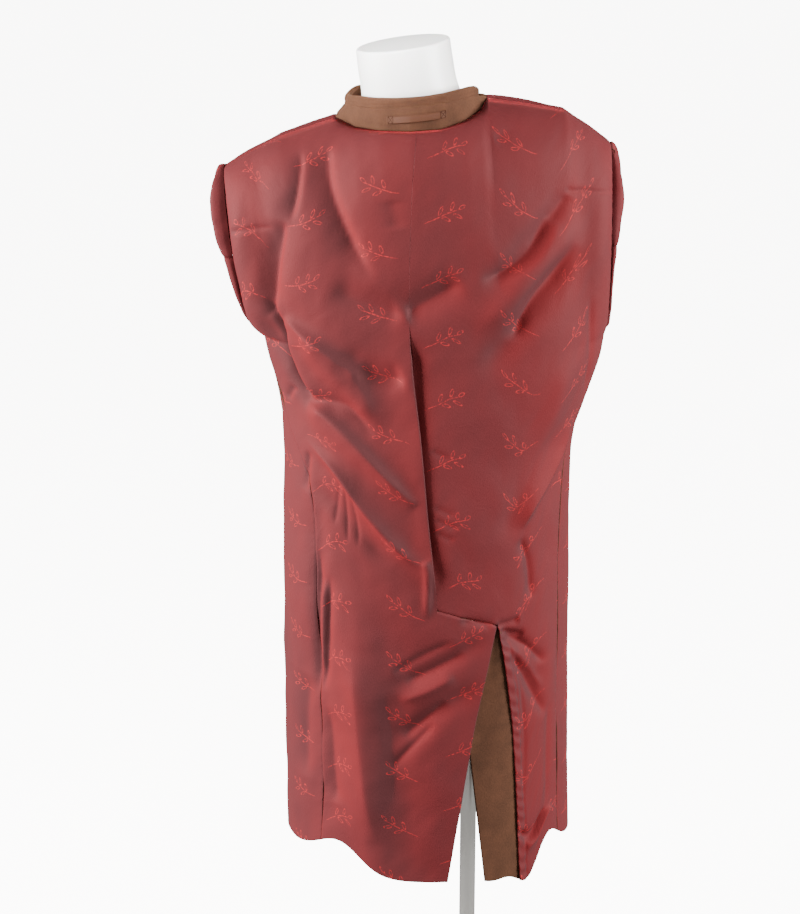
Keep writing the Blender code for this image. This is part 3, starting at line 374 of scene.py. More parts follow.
BACK_FOLDS = (
    # x and z of the start and end, width, height
    (-222, 1306, -264, 1150, 14, -4), (-190, 1345, -146, 1216, 24, -4),
    (-262, 1142, -206, 1036, 12, -12), (-214, 1130, -120, 1028, 17, 12),
    (-162, 1108, -96, 1082, 15, -7), (-210, 1036, -94, 946, 15, 8), (-176, 965, -62, 832, 12, 5),
    (-196, 935, -110, 852, 13, -7), (-176, 1192, -95, 1164, 22, -6), (-86, 1164, -22, 1204, 20, -7),
    (114, 1304, 20, 1198, 16, -11), (120, 1264, 8, 1150, 15, 8), (117, 1228, 14, 1096, 16, -11),
    (117, 1100, 60, 903, 16, 9), (100, 1010, 36, 880, 15, -7), (-195, 912, -202, 664, 10, -5),
    (-224, 735, -190, 400, 32, -14), (-146, 802, -132, 430, 26, 8), (-92, 684, -86, 410, 28, -7),
    (12, 740, -98, 682, 13, -8), (4, 676, -106, 604, 14, -8), (40, 750, 88, 656, 12, -8),
    (96, 800, 100, 470, 16, 5),
)
FRONT_FOLDS = (
    (-238, 1304, -170, 1126, 18, -10), (-206, 1184, -150, 950, 20, 8), (-196, 930, -186, 560, 22, -12),
    (-150, 770, -140, 440, 24, 10), (106, 1314, 46, 1116, 18, -10), (80, 1174, 30, 930, 18, 8),
    (84, 900, 78, 540, 18, -9), (32, 790, 26, 430, 22, 10),
)
BACK_CREASES = (
    # height, widths to its left or below and to its right or above, x and z of points on its line
    (-6, 10, 3, -216, 1362, -217, 1330, -221, 1300, -229, 1268),
    (-6, 12, 4, -236, 1270, -240, 1250, -247, 1216, -253, 1166, -262, 1140),
    (-8, 20, 6, -176, 1384, -183, 1345, -181, 1318, -170, 1285, -149, 1241, -122, 1200),
    (-4, 4, 5, -174, 1372, -164, 1368, -152, 1363), (-4, 4, 4, -291, 1327, -249, 1349, -198, 1371),
    (-3, 3, 3, -260, 1335, -241, 1347), (-4, 12, 18, -177, 1190, -128, 1171, -88, 1162),
    (-7, 10, 16, -89, 1162, -64, 1178, -19, 1203), (-3, 9, 9, -104, 1304, -99, 1268),
    (-8, 9, 7, 95, 1288, 75, 1248, 59, 1228, 31, 1212, 2, 1207),
    (5, 6, 7, 102, 1276, 85, 1246, 63, 1219, 27, 1193),
    (-9, 8, 7, 121, 1242, 104, 1208, 74, 1179, 57, 1151, 47, 1125), (-3, 6, 6, 112, 1300, 91, 1269),
    (-4, 8, 8, 20, 1367, 53, 1385), (-3, 4, 3, 142, 1177, 144, 1100, 140, 1042),
    (7, 9, 3, 122, 1016, 113, 981, 92, 941, 70, 909, 60, 881), (-5, 5, 4, 57, 872, 69, 834, 74, 782),
    (-2, 3, 3, -56, 994, -34, 982), (-2, 3, 3, -52, 922, -26, 909), (-2, 3, 3, -51, 906, -22, 892),
    (-2, 3, 3, -49, 889, -27, 876),
    (8, 11, 6, -212, 1036, -194, 1034, -174, 1023, -137, 989, -89, 938, -72, 922),
    (7, 5, 6, -214, 992, -188, 973, -169, 955, -146, 924, -118, 891, -89, 860, -58, 840),
    (5, 4, 3, -64, 854, -59, 835, -60, 773), (-1.2, 2, 2, -166, 950, -174, 916, -176, 888),
    (-1.4, 2, 2, -161, 944, -162, 906, -159, 866), (-1.2, 2, 2, -153, 934, -149, 900, -146, 862),
    (-7, 3, 5, 64, 468, 82, 453, 98, 456), (6, 6, 4, 72, 452, 90, 440, 108, 447),
    (-5, 4, 4, 28, 757, 44, 758, 60, 760), (-5, 4, 4, 34, 749, 50, 742, 66, 736),
    (-4, 4, 5, 24, 758, 4, 766, -18, 768),
    (-2.5, 1.8, 1.8, -312, 1246, -288, 1252, -268, 1257, -250, 1258),
    (-2.5, 1.8, 1.8, 108, 1311, 115, 1304, 130, 1303, 150, 1299, 170, 1297),
    (-5, 4, 4, -197, 852, -199, 786, -203, 715, -208, 636),
    (-7, 4, 5, -183, 823, -186, 757, -191, 702, -199, 649), (4, 5, 5, -191, 812, -194, 748, -200, 676),
    (-3, 3, 3, -208, 978, -213, 921), (-7, 11, 9, -222, 664, -226, 591, -225, 503),
    (-6, 10, 14, -191, 634, -186, 545, -183, 464),
    (5, 16, 18, -152, 727, -148, 635, -140, 549, -126, 440),
    (-3, 9, 14, -112, 673, -107, 614, -102, 556, -104, 513), (-4, 7, 5, -104, 697, -69, 721, -25, 744),
    (-4, 6, 5, -88, 684, -50, 704, -10, 725), (-4, 6, 6, -91, 605, -63, 633, -33, 660),
    (-4, 6, 6, -110, 559, -79, 596, -47, 631), (4, 8, 8, -97, 659, -56, 678, -24, 696),
    (-12, 4, 3, -264, 1172, -243, 1137, -232, 1097, -222, 1070, -203, 1044),
    (6, 4, 9, -238, 1130, -226, 1095, -214, 1068, -196, 1042),
    (8, 14, 6, -238, 1148, -223, 1139, -197, 1122, -170, 1104, -145, 1083, -126, 1030),
    (-7, 12, 12, -148, 1089, -112, 1080, -89, 1086),
    (-6, 10, 10, -219, 1041, -187, 1047, -155, 1042, -125, 1006),
    (-3, 2.5, 2.5, -228, 1056, -237, 1034), (-6, 5, 5, 41, 742, 69, 721, 94, 686),
    (-6, 6, 6, 49, 717, 74, 664, 96, 608), (4, 5, 5, 45, 729, 71, 693, 90, 650),
    (-2, 2.5, 2.5, 56, 715, 67, 615, 70, 498), (-3, 4, 4, 99, 633, 99, 545, 100, 453),
)
FRONT_CREASES = (
    (-8, 6, 8, -262, 1180, -240, 1120, -215, 1050, -205, 990),
    (7, 8, 6, -250, 1195, -222, 1120, -196, 1040),
    (-7, 8, 10, -232, 1300, -205, 1240, -185, 1170, -170, 1110),
    (-5, 5, 6, -160, 1330, -172, 1270, -176, 1200),
    (6, 9, 8, -196, 980, -180, 900, -174, 820, -176, 730), (-6, 6, 6, -214, 900, -206, 820, -208, 730),
    (-7, 10, 9, -186, 690, -178, 600, -182, 500),
    (6, 10, 12, -150, 720, -146, 620, -150, 520, -146, 430),
    (-7, 7, 6, 150, 1230, 128, 1170, 108, 1110, 98, 1040), (6, 6, 7, 140, 1200, 118, 1150, 96, 1080),
    (-6, 8, 8, 100, 1320, 84, 1260, 66, 1200, 52, 1130), (-5, 6, 5, 108, 1010, 96, 940, 92, 860),
    (5, 8, 8, 78, 960, 66, 880, 62, 800), (-6, 7, 8, 96, 800, 88, 700, 90, 600),
    (5, 9, 9, 64, 760, 58, 660, 62, 540, 58, 440),
)
CREASE_PARTS = 24
CREASE_DEPTH = 0.9
FOLD_DEPTH = 0.55
GRID = 2.7


def ease(low, high, value):
    """0 at low and 1 at high, with a soft start and end."""
    share = np.clip((value - low) / (high - low), 0, 1)
    return share * share * (3 - 2 * share)


def row_of(z):
    return (z - HEM_Z) / (ARM_Z - HEM_Z)


def skirt_height(r):
    """The height of a row, and the armpit's for the rows above it."""
    return HEM_Z + (ARM_Z - HEM_Z) * np.minimum(r, 1)


def section(z):
    """Middle, half width, depth behind and in front, and squareness of the coat at a height."""
    left, right, back, front, squareness = (curve(SECTIONS, z, k) for k in range(1, 6))
    return (left + right) / 2, (right - left) / 2, back, front, squareness


def soft_top(below):
    """The distance below the armpit, which fades out softly above it."""
    return np.logaddexp(0, below * 45) / 45


def smooth_point(q, r):
    """The outer face before its folds. q is 0 at the centre back, 1 at the right side, -1 at the left
    and 2 or -2 at the centre front. r is 0 at the hem, 1 at the armpit and 2 at the shoulder."""
    q, r = np.broadcast_arrays(q, r)
    front = np.abs(q) > 1
    z = skirt_height(r)
    middle, half, back, fore, squareness = section(HEM_Z + (ARM_Z - HEM_Z) * (1 - soft_top(1 - r)))
    sine, cosine = np.sin(q * np.pi / 2), np.abs(np.cos(q * np.pi / 2))
    share = np.sign(sine) * np.abs(sine) ** (2 / squareness)
    y = np.where(front, fore, back) * cosine ** (2 / squareness)
    x = middle + half * share
    rise = np.clip(r - 1, 0, 1)
    x1 = TOP_MIDDLE + TOP_HALF * share
    tops = [np.array(table, float).T for table in (BACK_TOP, FRONT_TOP)]
    y1, z1 = (
        np.where(front, np.interp(x1, tops[1][0], tops[1][k]), np.interp(x1, tops[0][0], tops[0][k]))
        for k in (1, 2)
    )
    near_armhole = np.where(r > 1, ease(0.8, 1, np.abs(share)), 0)
    x = x + (x1 - x) * rise ** (1 - 0.5 * near_armhole) * (r > 1)
    z = z + (z1 - z) * rise
    over = 1 - np.maximum(0, 1 - rise**SHOULDER_ROUNDNESS) ** (1 / SHOULDER_ROUNDNESS)
    y = y + (np.abs(y1) - y) * over
    oval = np.sqrt(np.maximum(0, 1 - np.abs(2 * rise - 1) ** 2.1))
    reach = np.where(front, ARMHOLE_FRONT, ARMHOLE_BACK)
    y = np.hypot(y, reach * oval * np.sqrt(near_armhole))
    return np.stack([x, np.where(front, y, -y), z], -1)


def fold_height(folds, x, z):
    """The height of the broad folds, each along a straight line."""
    total = np.zeros_like(x)
    for x0, z0, x1, z1, width, height in folds:
        length = math.hypot(x1 - x0, z1 - z0)
        ax, az = (x1 - x0) / length, (z1 - z0) / length
        t = ((x - x0) * ax + (z - z0) * az) / length
        aside = (x - x0) * az - (z - z0) * ax
        end = ease(-0.12, 0.2, t) * (1 - ease(0.8, 1.12, t))
        total += height * end * np.exp(-((aside / width) ** 2))
    return total * FOLD_DEPTH


def along_points(points, share):
    """Points on a smooth curve through points, at shares of the way along it."""
    scaled = np.asarray(share) * (len(points) - 1)
    i = np.minimum(scaled.astype(int), len(points) - 2)
    t = (scaled - i).reshape(-1, *[1] * (points.ndim - 1))
    p = [points[np.clip(i + k, 0, len(points) - 1)] for k in (-1, 0, 1, 2)]
    return 0.5 * (
        2 * p[1]
        + (p[2] - p[0]) * t
        + (2 * p[0] - 5 * p[1] + 4 * p[2] - p[3]) * t * t
        + (3 * p[1] - p[0] - 3 * p[2] + p[3]) * t**3
    )


def crease_height(creases, x, z):
    """Narrower creases on curved lines, with a sharper top than the folds."""
    total = np.zeros_like(x)
    for height, low_side, high_side, *line in creases:
        line = np.array(line, float).reshape(-1, 2)
        path = along_points(line, np.linspace(0, 1, CREASE_PARTS + 1))
        reach = 3 * max(low_side, high_side)
        low, high = path.min(0) - reach, path.max(0) + reach
        near = (x > low[0]) & (x < high[0]) & (z > low[1]) & (z < high[1])
        spot = np.stack([x[near], z[near]], -1)
        nearest = np.full(len(spot), np.inf)
        aside, t = np.zeros(len(spot)), np.zeros(len(spot))
        run = path[-1] - path[0]
        turned_over = run[0] > 0 if abs(run[0]) > abs(run[1]) else run[1] < 0
        for k in range(CREASE_PARTS):
            step = path[k + 1] - path[k]
            length = np.linalg.norm(step)
            step = step / length
            offset = spot - path[k]
            along = np.clip(offset @ step / length, 0, 1)
            distance = np.linalg.norm(offset - along[:, None] * step * length, axis=1)
            closer = distance < nearest
            side = np.sign(offset[:, 1] * step[0] - offset[:, 0] * step[1])
            nearest = np.where(closer, distance, nearest)
            aside = np.where(closer, distance * (side if turned_over else -side), aside)
            t = np.where(closer, (k + along) / CREASE_PARTS, t)
        width = np.where(aside < 0, low_side, high_side)
        shape = np.exp(-(((np.sqrt(nearest**2 + 1) - 1) / width) ** 1.25))
        total[near] += height * CREASE_DEPTH * shape * ease(0, 0.25, t) * ease(0, 0.25, 1 - t)
    return total


def coat_point(q, r):
    """The outer face with its folds."""
    point = smooth_point(q, r)
    q, r = np.broadcast_arrays(q, r)
    front = np.abs(q) > 1
    calm = ease(0, 0.14, np.abs(np.abs(q) - 1)) * (1 - ease(1.86, 1.98, r))
    x, z = point[..., 0], point[..., 2]
    ahead = fold_height(FRONT_FOLDS, x, z) + crease_height(FRONT_CREASES, x, z)
    behind = fold_height(BACK_FOLDS, x, z) + crease_height(BACK_CREASES, x, z)
    out = np.where(front, ahead, behind) * calm
    lift = np.zeros_like(x)
    for at, width, height in HEM_LIFTS:
        lift += height * np.exp(-(((x - at) / width) ** 2))
    lift *= np.where(front, 0, calm * (1 - ease(HEM_Z, HEM_Z + LIFT_REACH, z)))
    angle = q * np.pi / 2
    return point + np.stack([np.sin(angle) * out, -np.cos(angle) * out, lift], -1)


def turn_of(share, squareness, front=False):
    turn = np.arcsin(np.minimum(1, np.abs(share)) ** (squareness / 2)) / (np.pi / 2)
    return np.copysign(2 - turn if front else turn, share)


def turn_at(x, r):
    """The quarter turn on the back at an x and a row."""
    middle, half, _, _, squareness = section(skirt_height(r))
    rise = np.maximum(0, r - 1)
    middle = middle + (TOP_MIDDLE - middle) * rise
    half = half + (TOP_HALF - half) * rise
    return turn_of((x - middle) / half, squareness)


def height_of(r):
    """The height of a row at the centre back."""
    return np.where(r <= 1, skirt_height(r), ARM_Z + (BACK_TOP_Z - ARM_Z) * (r - 1))


def side_turn(sign, z):
    return curve(SIDE_SEAMS, z, 1 if sign < 0 else 2)


def pleat_edge(z):
    """Where the centre back stands open, or the vent: 1 there and 0 on the plain cloth above."""
    return np.maximum(pleat_shares(z)[0], z < VENT_LINE_Z + 1)


def pleat_shares(z):
    """How far the pleat stands open at a height, and how far the right half runs under the left."""
    opened, wide = (
        np.minimum(ease(top, upper, z), ease(bottom, lower, z))
        for bottom, lower, upper, top in (PLEAT_OPEN_Z, PLEAT_WIDE_Z)
    )
    return ease(0, 0.5, opened), wide


def slant(z):
    """How far the slanted seam and the rows beside it drop from the side to the centre."""
    return VENT_LINE_DROP * (1 - ease(0, 100, np.abs(z - VENT_LINE_Z)))


def steps(low, high, step, crowded=False):
    """Even steps, with three more beside the first where that is a rounded edge."""
    found = list(np.linspace(low, high, max(2, round(abs(high - low) / step)) + 1))
    if crowded:
        found[1:1] = [low + near for near in EDGE_STEPS]
    return np.array(found)


def crowd(first, shares):
    """Shares across a grid, with closer ones in place of the first."""
    return np.concatenate([first, shares[1:]])[None, :]


def panel_rows():
    """Rows from hem to shoulder. One is the slanted seam's."""
    below = steps(HEM_Z, VENT_LINE_Z, GRID, crowded=True)
    above = steps(VENT_LINE_Z, ARM_Z, GRID)[1:]
    share = np.linspace(0, 1, 105)[1:]
    upper = 1 + 0.6 * share + 0.2 * (1 - np.cos(np.pi * share))
    return np.concatenate([row_of(below), row_of(above), upper])[:, None]


ROWS = panel_rows()


def unit(vectors):
    return vectors / np.linalg.norm(vectors, axis=-1, keepdims=True)


def lengths_along(points, axis):
    """The length along a grid's lines, from their first point."""
    gaps = np.linalg.norm(np.diff(points, axis=axis), axis=-1)
    start = np.zeros_like(np.take(gaps, [0], axis))
    return np.concatenate([start, np.cumsum(gaps, axis)], axis)


def grid_normals(points):
    across = np.gradient(points, axis=1)
    up = np.gradient(points, axis=0)
    normals = np.cross(across, up)
    return normals / np.maximum(np.linalg.norm(normals, axis=-1, keepdims=True), 1e-9)


def rumple(u, v, seed, longest, shortest, size):
    """Small uneven waves of soft cloth."""
    random = np.random.default_rng(seed)
    total = np.zeros_like(u)
    for _ in range(WAVES):
        wave = 2 * np.pi / random.uniform(shortest, longest)
        angle = random.uniform(0, np.pi)
        total += np.sin((u * math.cos(angle) + v * math.sin(angle)) * wave + random.uniform(0, 6.28))
    return total * size / 3.7


def edge_shape(far, along, kind, seed):
    """How the face drops at an edge: a free edge is rounded, and a seam lies in a puckered groove."""
    if kind == "free":
        reach = np.clip(EDGE_ROUND - far, 0, EDGE_ROUND)
        return np.sqrt(EDGE_ROUND**2 - reach**2) - EDGE_ROUND
    phase = 2.1 * np.sin(along / 23.0 + seed) + 1.3 * np.sin(along / 9.7 + 2 * seed)
    pucker = 0.35 * np.sin(along / 2.3 + phase) * np.exp(-far / 7) * (1 - np.exp(-far / 1.2))
    return -SEAM_GROOVE * np.exp(-((far / SEAM_HALF_WIDTH) ** 2)) + pucker


def cloth(name, points, materials, edges, mask=None, seed=1, zero=0, wrinkle=0.8, thick=WALL,
          stitched=(), plain=None):
    """A thin shell from a grid of outer points, with rumples, seams and rounded edges. edges names its
    left, right, bottom and top edges. mask tells which cells are cloth. Each row of stitched is an
    edge's number, the distance of its stitched line, the share of its depth and the height of its
    puckers. plain has the points before the folds, which the folds' slopes are measured against."""
    rows, columns = points.shape[:2]
    if mask is None:
        mask = np.ones((rows - 1, columns - 1), bool)
    normals = grid_normals(points)
    u, v = lengths_along(points, 1), lengths_along(points, 0)
    filled = np.zeros((rows, columns), bool)
    for i, j in ((0, 0), (0, 1), (1, 0), (1, 1)):
        filled[i : rows - 1 + i, j : columns - 1 + j] |= mask
    first, last = filled.argmax(1), columns - 1 - filled[:, ::-1].argmax(1)
    bottom, top = filled.argmax(0), rows - 1 - filled[::-1].argmax(0)
    each_row, each_column = np.arange(rows), np.arange(columns)
    far = (
        u - u[each_row, first][:, None],
        u[each_row, last][:, None] - u,
        v - v[bottom, each_column],
        v[top, each_column] - v,
    )
    u_flat = u - u[:, zero][:, None]
    out = rumple(u_flat, v, seed, 170, 60, wrinkle)
    out += rumple(u_flat, v, seed + 50, 48, 22, wrinkle * 0.2)
    for k, kind in enumerate(edges):
        if kind == "seam":
            out *= 1 - np.exp(-((far[k] / SEAM_CALM) ** 2))
    for k, kind in enumerate(edges):
        share = 1.0
        if isinstance(kind, tuple):
            kind, share = kind
        if kind:
            out += share * edge_shape(np.maximum(far[k], 0), v if k < 2 else u, kind, seed + k)
    for k, distance, share, gather in stitched:
        along = v if k < 2 else u
        pucker = gather * np.sin(along / 2.9 + 1.7 * np.sin(along / 19.0))
        pucker = pucker * np.exp(-(((far[k] - distance / 2) / (distance / 2)) ** 4))
        out += share * (pucker - SEAM_GROOVE * np.exp(-(((far[k] - distance) / 1.9) ** 2)))
    points = points + normals * out[..., None]
    # Painted light and shade: how far the folds turn each point's face sideways, kept for the lining
    level = normals if plain is None else grid_normals(plain)
    sideways = np.cross(np.array([0.0, 0.0, 1.0]), level)
    tilt = np.sum((grid_normals(points) - level) * sideways, -1)
    uv = np.stack([u_flat, v], -1).reshape(-1, 2) * MM
    index = np.arange(rows * columns).reshape(rows, columns)
    i, j = np.nonzero(mask)
    faces = np.stack([index[i, j], index[i, j + 1], index[i + 1, j + 1], index[i + 1, j]], 1)
    used, faces = np.unique(faces, return_inverse=True)
    faces = faces.reshape(-1, 4)
    thing = add_thing(name, points.reshape(-1, 3)[used], faces.tolist(), materials, sharp_deg=180)
    layer = thing.data.uv_layers.new(name="cloth")
    layer.data.foreach_set("uv", uv[used][faces].ravel())
    painted_shade_layer = thing.data.attributes.new("tilt", "FLOAT", "POINT")
    painted_shade_layer.data.foreach_set("value", tilt.ravel()[used])
    shell = thing.modifiers.new("wool behind the lining", "SOLIDIFY")
    shell.thickness = thick * MM
    shell.offset = -1
    shell.material_offset = 1
    shell.material_offset_rim = 1
    return thing


# Satin lining: acetate, dark and dull red with a pinkish grey sheen. Its ground is painted light
# and shade: brighter red on fold slopes that face left, darker grey on the slopes turned away.
# The sprigs are floated threads of brighter red in a half-drop layout.
SPRIG_WIDE = 0.088
SPRIG_HIGH = 0.078
SPRIG_LEAVES = (
    # x and y of the centre, turn in degrees, half length, half width, in millimetres
    (-15, -6, 20, 9, 0.4), (2, 1, 24, 9, 0.4), (-9, 3, 68, 6, 2.3), (-2, -7, -22, 6, 2.3),
    (5, 9, 72, 6, 2.2), (12, -2, -14, 6, 2.2), (17, 10, 44, 5.5, 2.1),
)


def maths(tree, operation, a, b=0.0, c=0.0, clamp=False):
    inputs = {0: a, 1: b, 2: c}
    return add_node(tree, "Math", inputs, operation=operation, use_clamp=clamp).outputs[0]


def mix_colours(tree, factor, low, high):
    inputs = {"Factor": factor, 6: low, 7: high}
    return add_node(tree, "Mix", inputs, data_type="RGBA").outputs[2]


def sprig_mask(tree, uv):
    """1 on the sprigs' threads, 0 between them."""
    parts = add_node(tree, "SeparateXYZ", {0: uv})
    column = maths(tree, "DIVIDE", parts.outputs["X"], SPRIG_WIDE)
    row = maths(tree, "DIVIDE", parts.outputs["Y"], SPRIG_HIGH)
    odd = maths(tree, "FLOORED_MODULO", maths(tree, "FLOOR", column), 2.0)
    row = maths(tree, "MULTIPLY_ADD", odd, 0.5, row)
    across, up = (
        maths(tree, "MULTIPLY", maths(tree, "SUBTRACT", maths(tree, "FRACT", cell), 0.5), size)
        for cell, size in ((column, SPRIG_WIDE), (row, SPRIG_HIGH))
    )
    across = maths(tree, "MULTIPLY", across, maths(tree, "MULTIPLY_ADD", odd, -2.0, 1.0))
    here = add_node(tree, "CombineXYZ", {0: across, 1: up})
    total = None
    for x, y, turn, half_long, half_wide in SPRIG_LEAVES:
        inputs = {
            "Vector": here.outputs[0],
            "Location": (x * MM, y * MM, 0),
            "Rotation": (0, 0, math.radians(turn)),
            "Scale": (half_long * MM, half_wide * MM, 1),
        }
        leaf = add_node(tree, "Mapping", inputs, vector_type="TEXTURE")
        size = add_node(tree, "VectorMath", {0: leaf.outputs[0]}, operation="LENGTH")
        line = maths(tree, "COMPARE", size.outputs["Value"], 0.82, 0.18 if half_wide > 1 else 0.9)
        total = line if total is None else maths(tree, "MAXIMUM", total, line)
    patchy = add_noise(tree, Vector=uv, Scale=300.0)
    return maths(tree, "MULTIPLY", total, maths(tree, "MULTIPLY_ADD", patchy, 4.2, -1.5))


lining, tree, shader = new_material(
    "acetate satin lining",
    Roughness=0.62,
    IOR=1.47,
    Specular_IOR_Level=0.18,
    Specular_Tint=linear("#f08f8c"),
    Sheen_Weight=0.2,
    Sheen_Roughness=0.3,
    Sheen_Tint=linear("#c8383d"),
)
uv = add_node(tree, "UVMap", uv_map="cloth").outputs["UV"]
# Painted light and shade: brighter red on fold slopes facing left, darker grey on slopes turned away
slope = add_node(tree, "Attribute", attribute_name="tilt")
span = {"From Min": -0.46, "From Max": 0.46, "To Min": -0.14, "To Max": 0.9}
painted_shade_share = add_node(tree, "MapRange", {"Value": slope.outputs["Fac"], **span})
cloud = add_noise(tree, Vector=uv, Scale=9.0)
tone_and_painted_shade = maths(tree, "MULTIPLY_ADD", cloud, 0.4, painted_shade_share.outputs["Result"], clamp=True)
ground_with_painted_shade = mix_colours(tree, tone_and_painted_shade, linear("#6a2224"), linear("#482628"))
dyed = mix_colours(tree, sprig_mask(tree, uv), ground_with_painted_shade, linear("#98292b"))
tree.links.new(dyed, shader.inputs["Base Color"])
# The threads of satin are a tenth of a millimetre apart; here they are about one, or they'd not show
stretch = add_node(tree, "Mapping", {"Vector": uv, "Scale": (900.0, 220.0, 1.0)})
grain = add_noise(tree, Vector=stretch.outputs[0], Scale=1.0)
crinkle = add_noise(tree, Vector=uv, Scale=34.0, Detail=4.0, Roughness=0.6, Distortion=0.9)
relief = maths(tree, "MULTIPLY_ADD", crinkle, 3.5, grain)
add_bump(tree, shader, relief, 0.2, 0.0008)

# Wool: a brown woollen cloth, milled and napped, so the weave is hidden under short fibres
wool, tree, shader = new_material(
    "napped brown wool",
    Roughness=0.92,
    IOR=1.5,
    Specular_IOR_Level=0.25,
    Sheen_Weight=0.17,
    Sheen_Roughness=0.6,
    Sheen_Tint=linear("#b37b50"),
)
where = add_node(tree, "TexCoord").outputs["Object"]
nap = add_noise(tree, Vector=where, Scale=420.0, Detail=4.0)
patches = add_noise(tree, Vector=where, Scale=45.0, Detail=3.0)
both = maths(tree, "MULTIPLY_ADD", nap, 0.6, patches)
shade = add_node(tree, "MapRange", {"Value": both, "From Min": 0.55, "From Max": 1.05})
hue = mix_colours(tree, shade.outputs["Result"], linear("#3a2113"), linear("#4a2c1c"))
tree.links.new(hue, shader.inputs["Base Color"])
add_bump(tree, shader, nap, 0.5, 0.0006)


def back_left_grid():
    """Turns, rows and lifts of the points from the side seam to the pleat, and the vent's cells."""
    r = ROWS
    z = height_of(r)
    centre = curve(CENTRE_BACK, z)
    part = crowd([1.0, 0.996, 0.985, 0.97], steps(1, 0, 0.045)[:-1])
    height = z - slant(z) * part + VENT_LAP * (np.abs(z - VENT_LINE_Z) < 0.01)
    vent = curve(VENT, height, 1)
    r_vent = row_of(height)
    q_vent = turn_at(centre + (vent - centre) * part, r_vent)
    start = turn_at(centre, r)
    end = side_turn(-1, np.minimum(z, ARM_Z))
    neck_share = -turn_at(NECK_LEFT_X, 2.0)
    share = np.concatenate([steps(0, neck_share, 0.0145), steps(neck_share, 1, 0.0125)[1:]])
    share = crowd([0, 0.001, 0.004, 0.008], share)
    deep, _ = pleat_shares(z)
    lift = PLEAT_RAISE * deep * np.exp(-((BACK_HALF_WIDTH * share / PLEAT_ROLL) ** 2))
    q_main = start + (end - start) * share
    above = z > VENT_LINE_Z + 1
    q = np.concatenate([np.where(above, start + 0.02 * part, q_vent), q_main], 1)
    r_all = np.concatenate([np.where(above, r, r_vent), r + 0 * share], 1)
    lift = np.concatenate([0 * part + PLEAT_RAISE * deep, lift], 1)
    mask = np.ones((r.shape[0] - 1, q.shape[1] - 1), bool)
    mask[z[:-1, 0] > VENT_LINE_Z - 1, : part.shape[1]] = False
    return q[:, ::-1], r_all[:, ::-1], lift[:, ::-1], mask[:, ::-1]


def raised(q, r, lift=0.0):
    """Points of the coat, moved out by lift along the normal."""
    points = coat_point(q, r)
    return points + grid_normals(smooth_point(q, r)) * np.broadcast_to(lift, q.shape)[..., None]


def declare(thing):
    """Read a sheet's coordinates along the cloth; nothing more is done with them."""
    layer = thing.data.uv_layers["cloth"]
    uv = np.zeros(2 * len(layer.data))
    layer.data.foreach_get("uv", uv)


q, r, lift, mask = back_left_grid()
back_left = cloth(
    "coat_back_left",
    raised(q, r, lift),
    [lining, wool],
    (("seam", 0.4), ("free", pleat_edge(height_of(ROWS))), "free", "seam"),
    mask=mask,
    seed=3,
    zero=int(mask[-1].sum()),
    plain=smooth_point(q, r),
)
place(back_left, "lining", "back_left")
declare(back_left)

# Back of the coat, right half: wool with its lining out. It dips under the left half along the
# pleat, and the slanted seam joins it above the vent, where its pressed edge stands open.


def back_right_grid():
    """The same from under the pleat to the side seam."""
    r = ROWS
    z = height_of(r)
    centre = curve(CENTRE_BACK, z)
    deep, wide = pleat_shares(z)
    edge = centre - PLEAT_UNDER * wide
    vent = curve(VENT, z, 2) + SEAM_GAP / 2
    split = vent + (NECK_RIGHT_X - vent) * np.maximum(0, r - 1)
    part = crowd([0, 0.004, 0.014, 0.022], steps(0, 1, 0.033)[:-1])
    x = edge + (split - edge) * part
    row = np.where(r > 1, r + 0 * x, row_of(z - slant(z) * part))
    q_pleat = turn_at(x, row)
    lift_pleat = PLEAT_DIP * deep * np.exp(-(((x - edge) / PLEAT_ROLL) ** 2))
    end = side_turn(1, np.minimum(z, ARM_Z))
    share = crowd([0, 0.002, 0.006, 0.011], steps(0, 1, 0.0165))
    height = z - slant(z) * (1 - ease(0, 0.8, share))
    row_main = np.where(r > 1, r + 0 * share, row_of(height))
    split = np.where(r > 1, split, curve(VENT, height, 2) + SEAM_GAP / 2)
    start = turn_at(split, row_main)
    q_main = start + (end - start) * share
    q = np.concatenate([q_pleat, q_main], 1)
    mask = np.ones((r.shape[0] - 1, q.shape[1] - 1), bool)
    mask[z[:-1, 0] < VENT_LINE_Z - 1, : part.shape[1]] = False
    lift = np.concatenate([lift_pleat, 0 * q_main], 1)
    return q, np.concatenate([row, row_main], 1), lift, mask


q, r, lift, mask = back_right_grid()
back_right = cloth(
    "coat_back_right",
    raised(q, r, lift),
    [lining, wool],
    (("free", pleat_edge(height_of(ROWS))), "seam", "free", "seam"),
    mask=mask,
    seed=3,
    stitched=((0, 13.0, ease(VENT_LINE_Z, VENT_LINE_Z - 30, height_of(ROWS)), 0.9),),
    plain=smooth_point(q, r),
)
place(back_right, "lining", "back_right")
declare(back_right)

# Vent underlap: the wool that runs on from the right half, under the left half's edge. It hangs
# free below the slanted seam.

UNDERLAP_DIP = -8.0
UNDERLAP_TOP = 748.0
UNDERLAP_REACH = 9.0
UNDERLAP_CLEAR = WALL + 0.6


def underlap_grid():
    """Turns, rows and lifts of the points from the free edge to behind the right half."""
    z = steps(HEM_Z, UNDERLAP_TOP, GRID, crowded=True)[:, None]
    left_vent, right_vent, free = (curve(VENT, z, k) for k in (1, 2, 3))
    share = crowd([0, 0.002, 0.007, 0.015], np.linspace(0, 1, 40))
    x = free + (right_vent + UNDERLAP_REACH - free) * share**0.8
    dip = UNDERLAP_DIP - (UNDERLAP_DIP + UNDERLAP_CLEAR) * ease(left_vent + 2, right_vent, x)
    return turn_at(x, row_of(z)), row_of(z) + 0 * x, dip


q, r, lift = underlap_grid()
underlap = cloth(
    "coat_underlap",
    raised(q, r, lift),
    [wool, wool],
    ("free", "seam", "free", None),
    seed=5,
    wrinkle=0.4,
    thick=2.4,
)
place(underlap, "wool", "vent_underlap")
declare(underlap)

# Fronts: a left and a right piece of wool with their lining out. They are sewn to the backs at
# the sides and shoulders, and the lining ends at the facing.

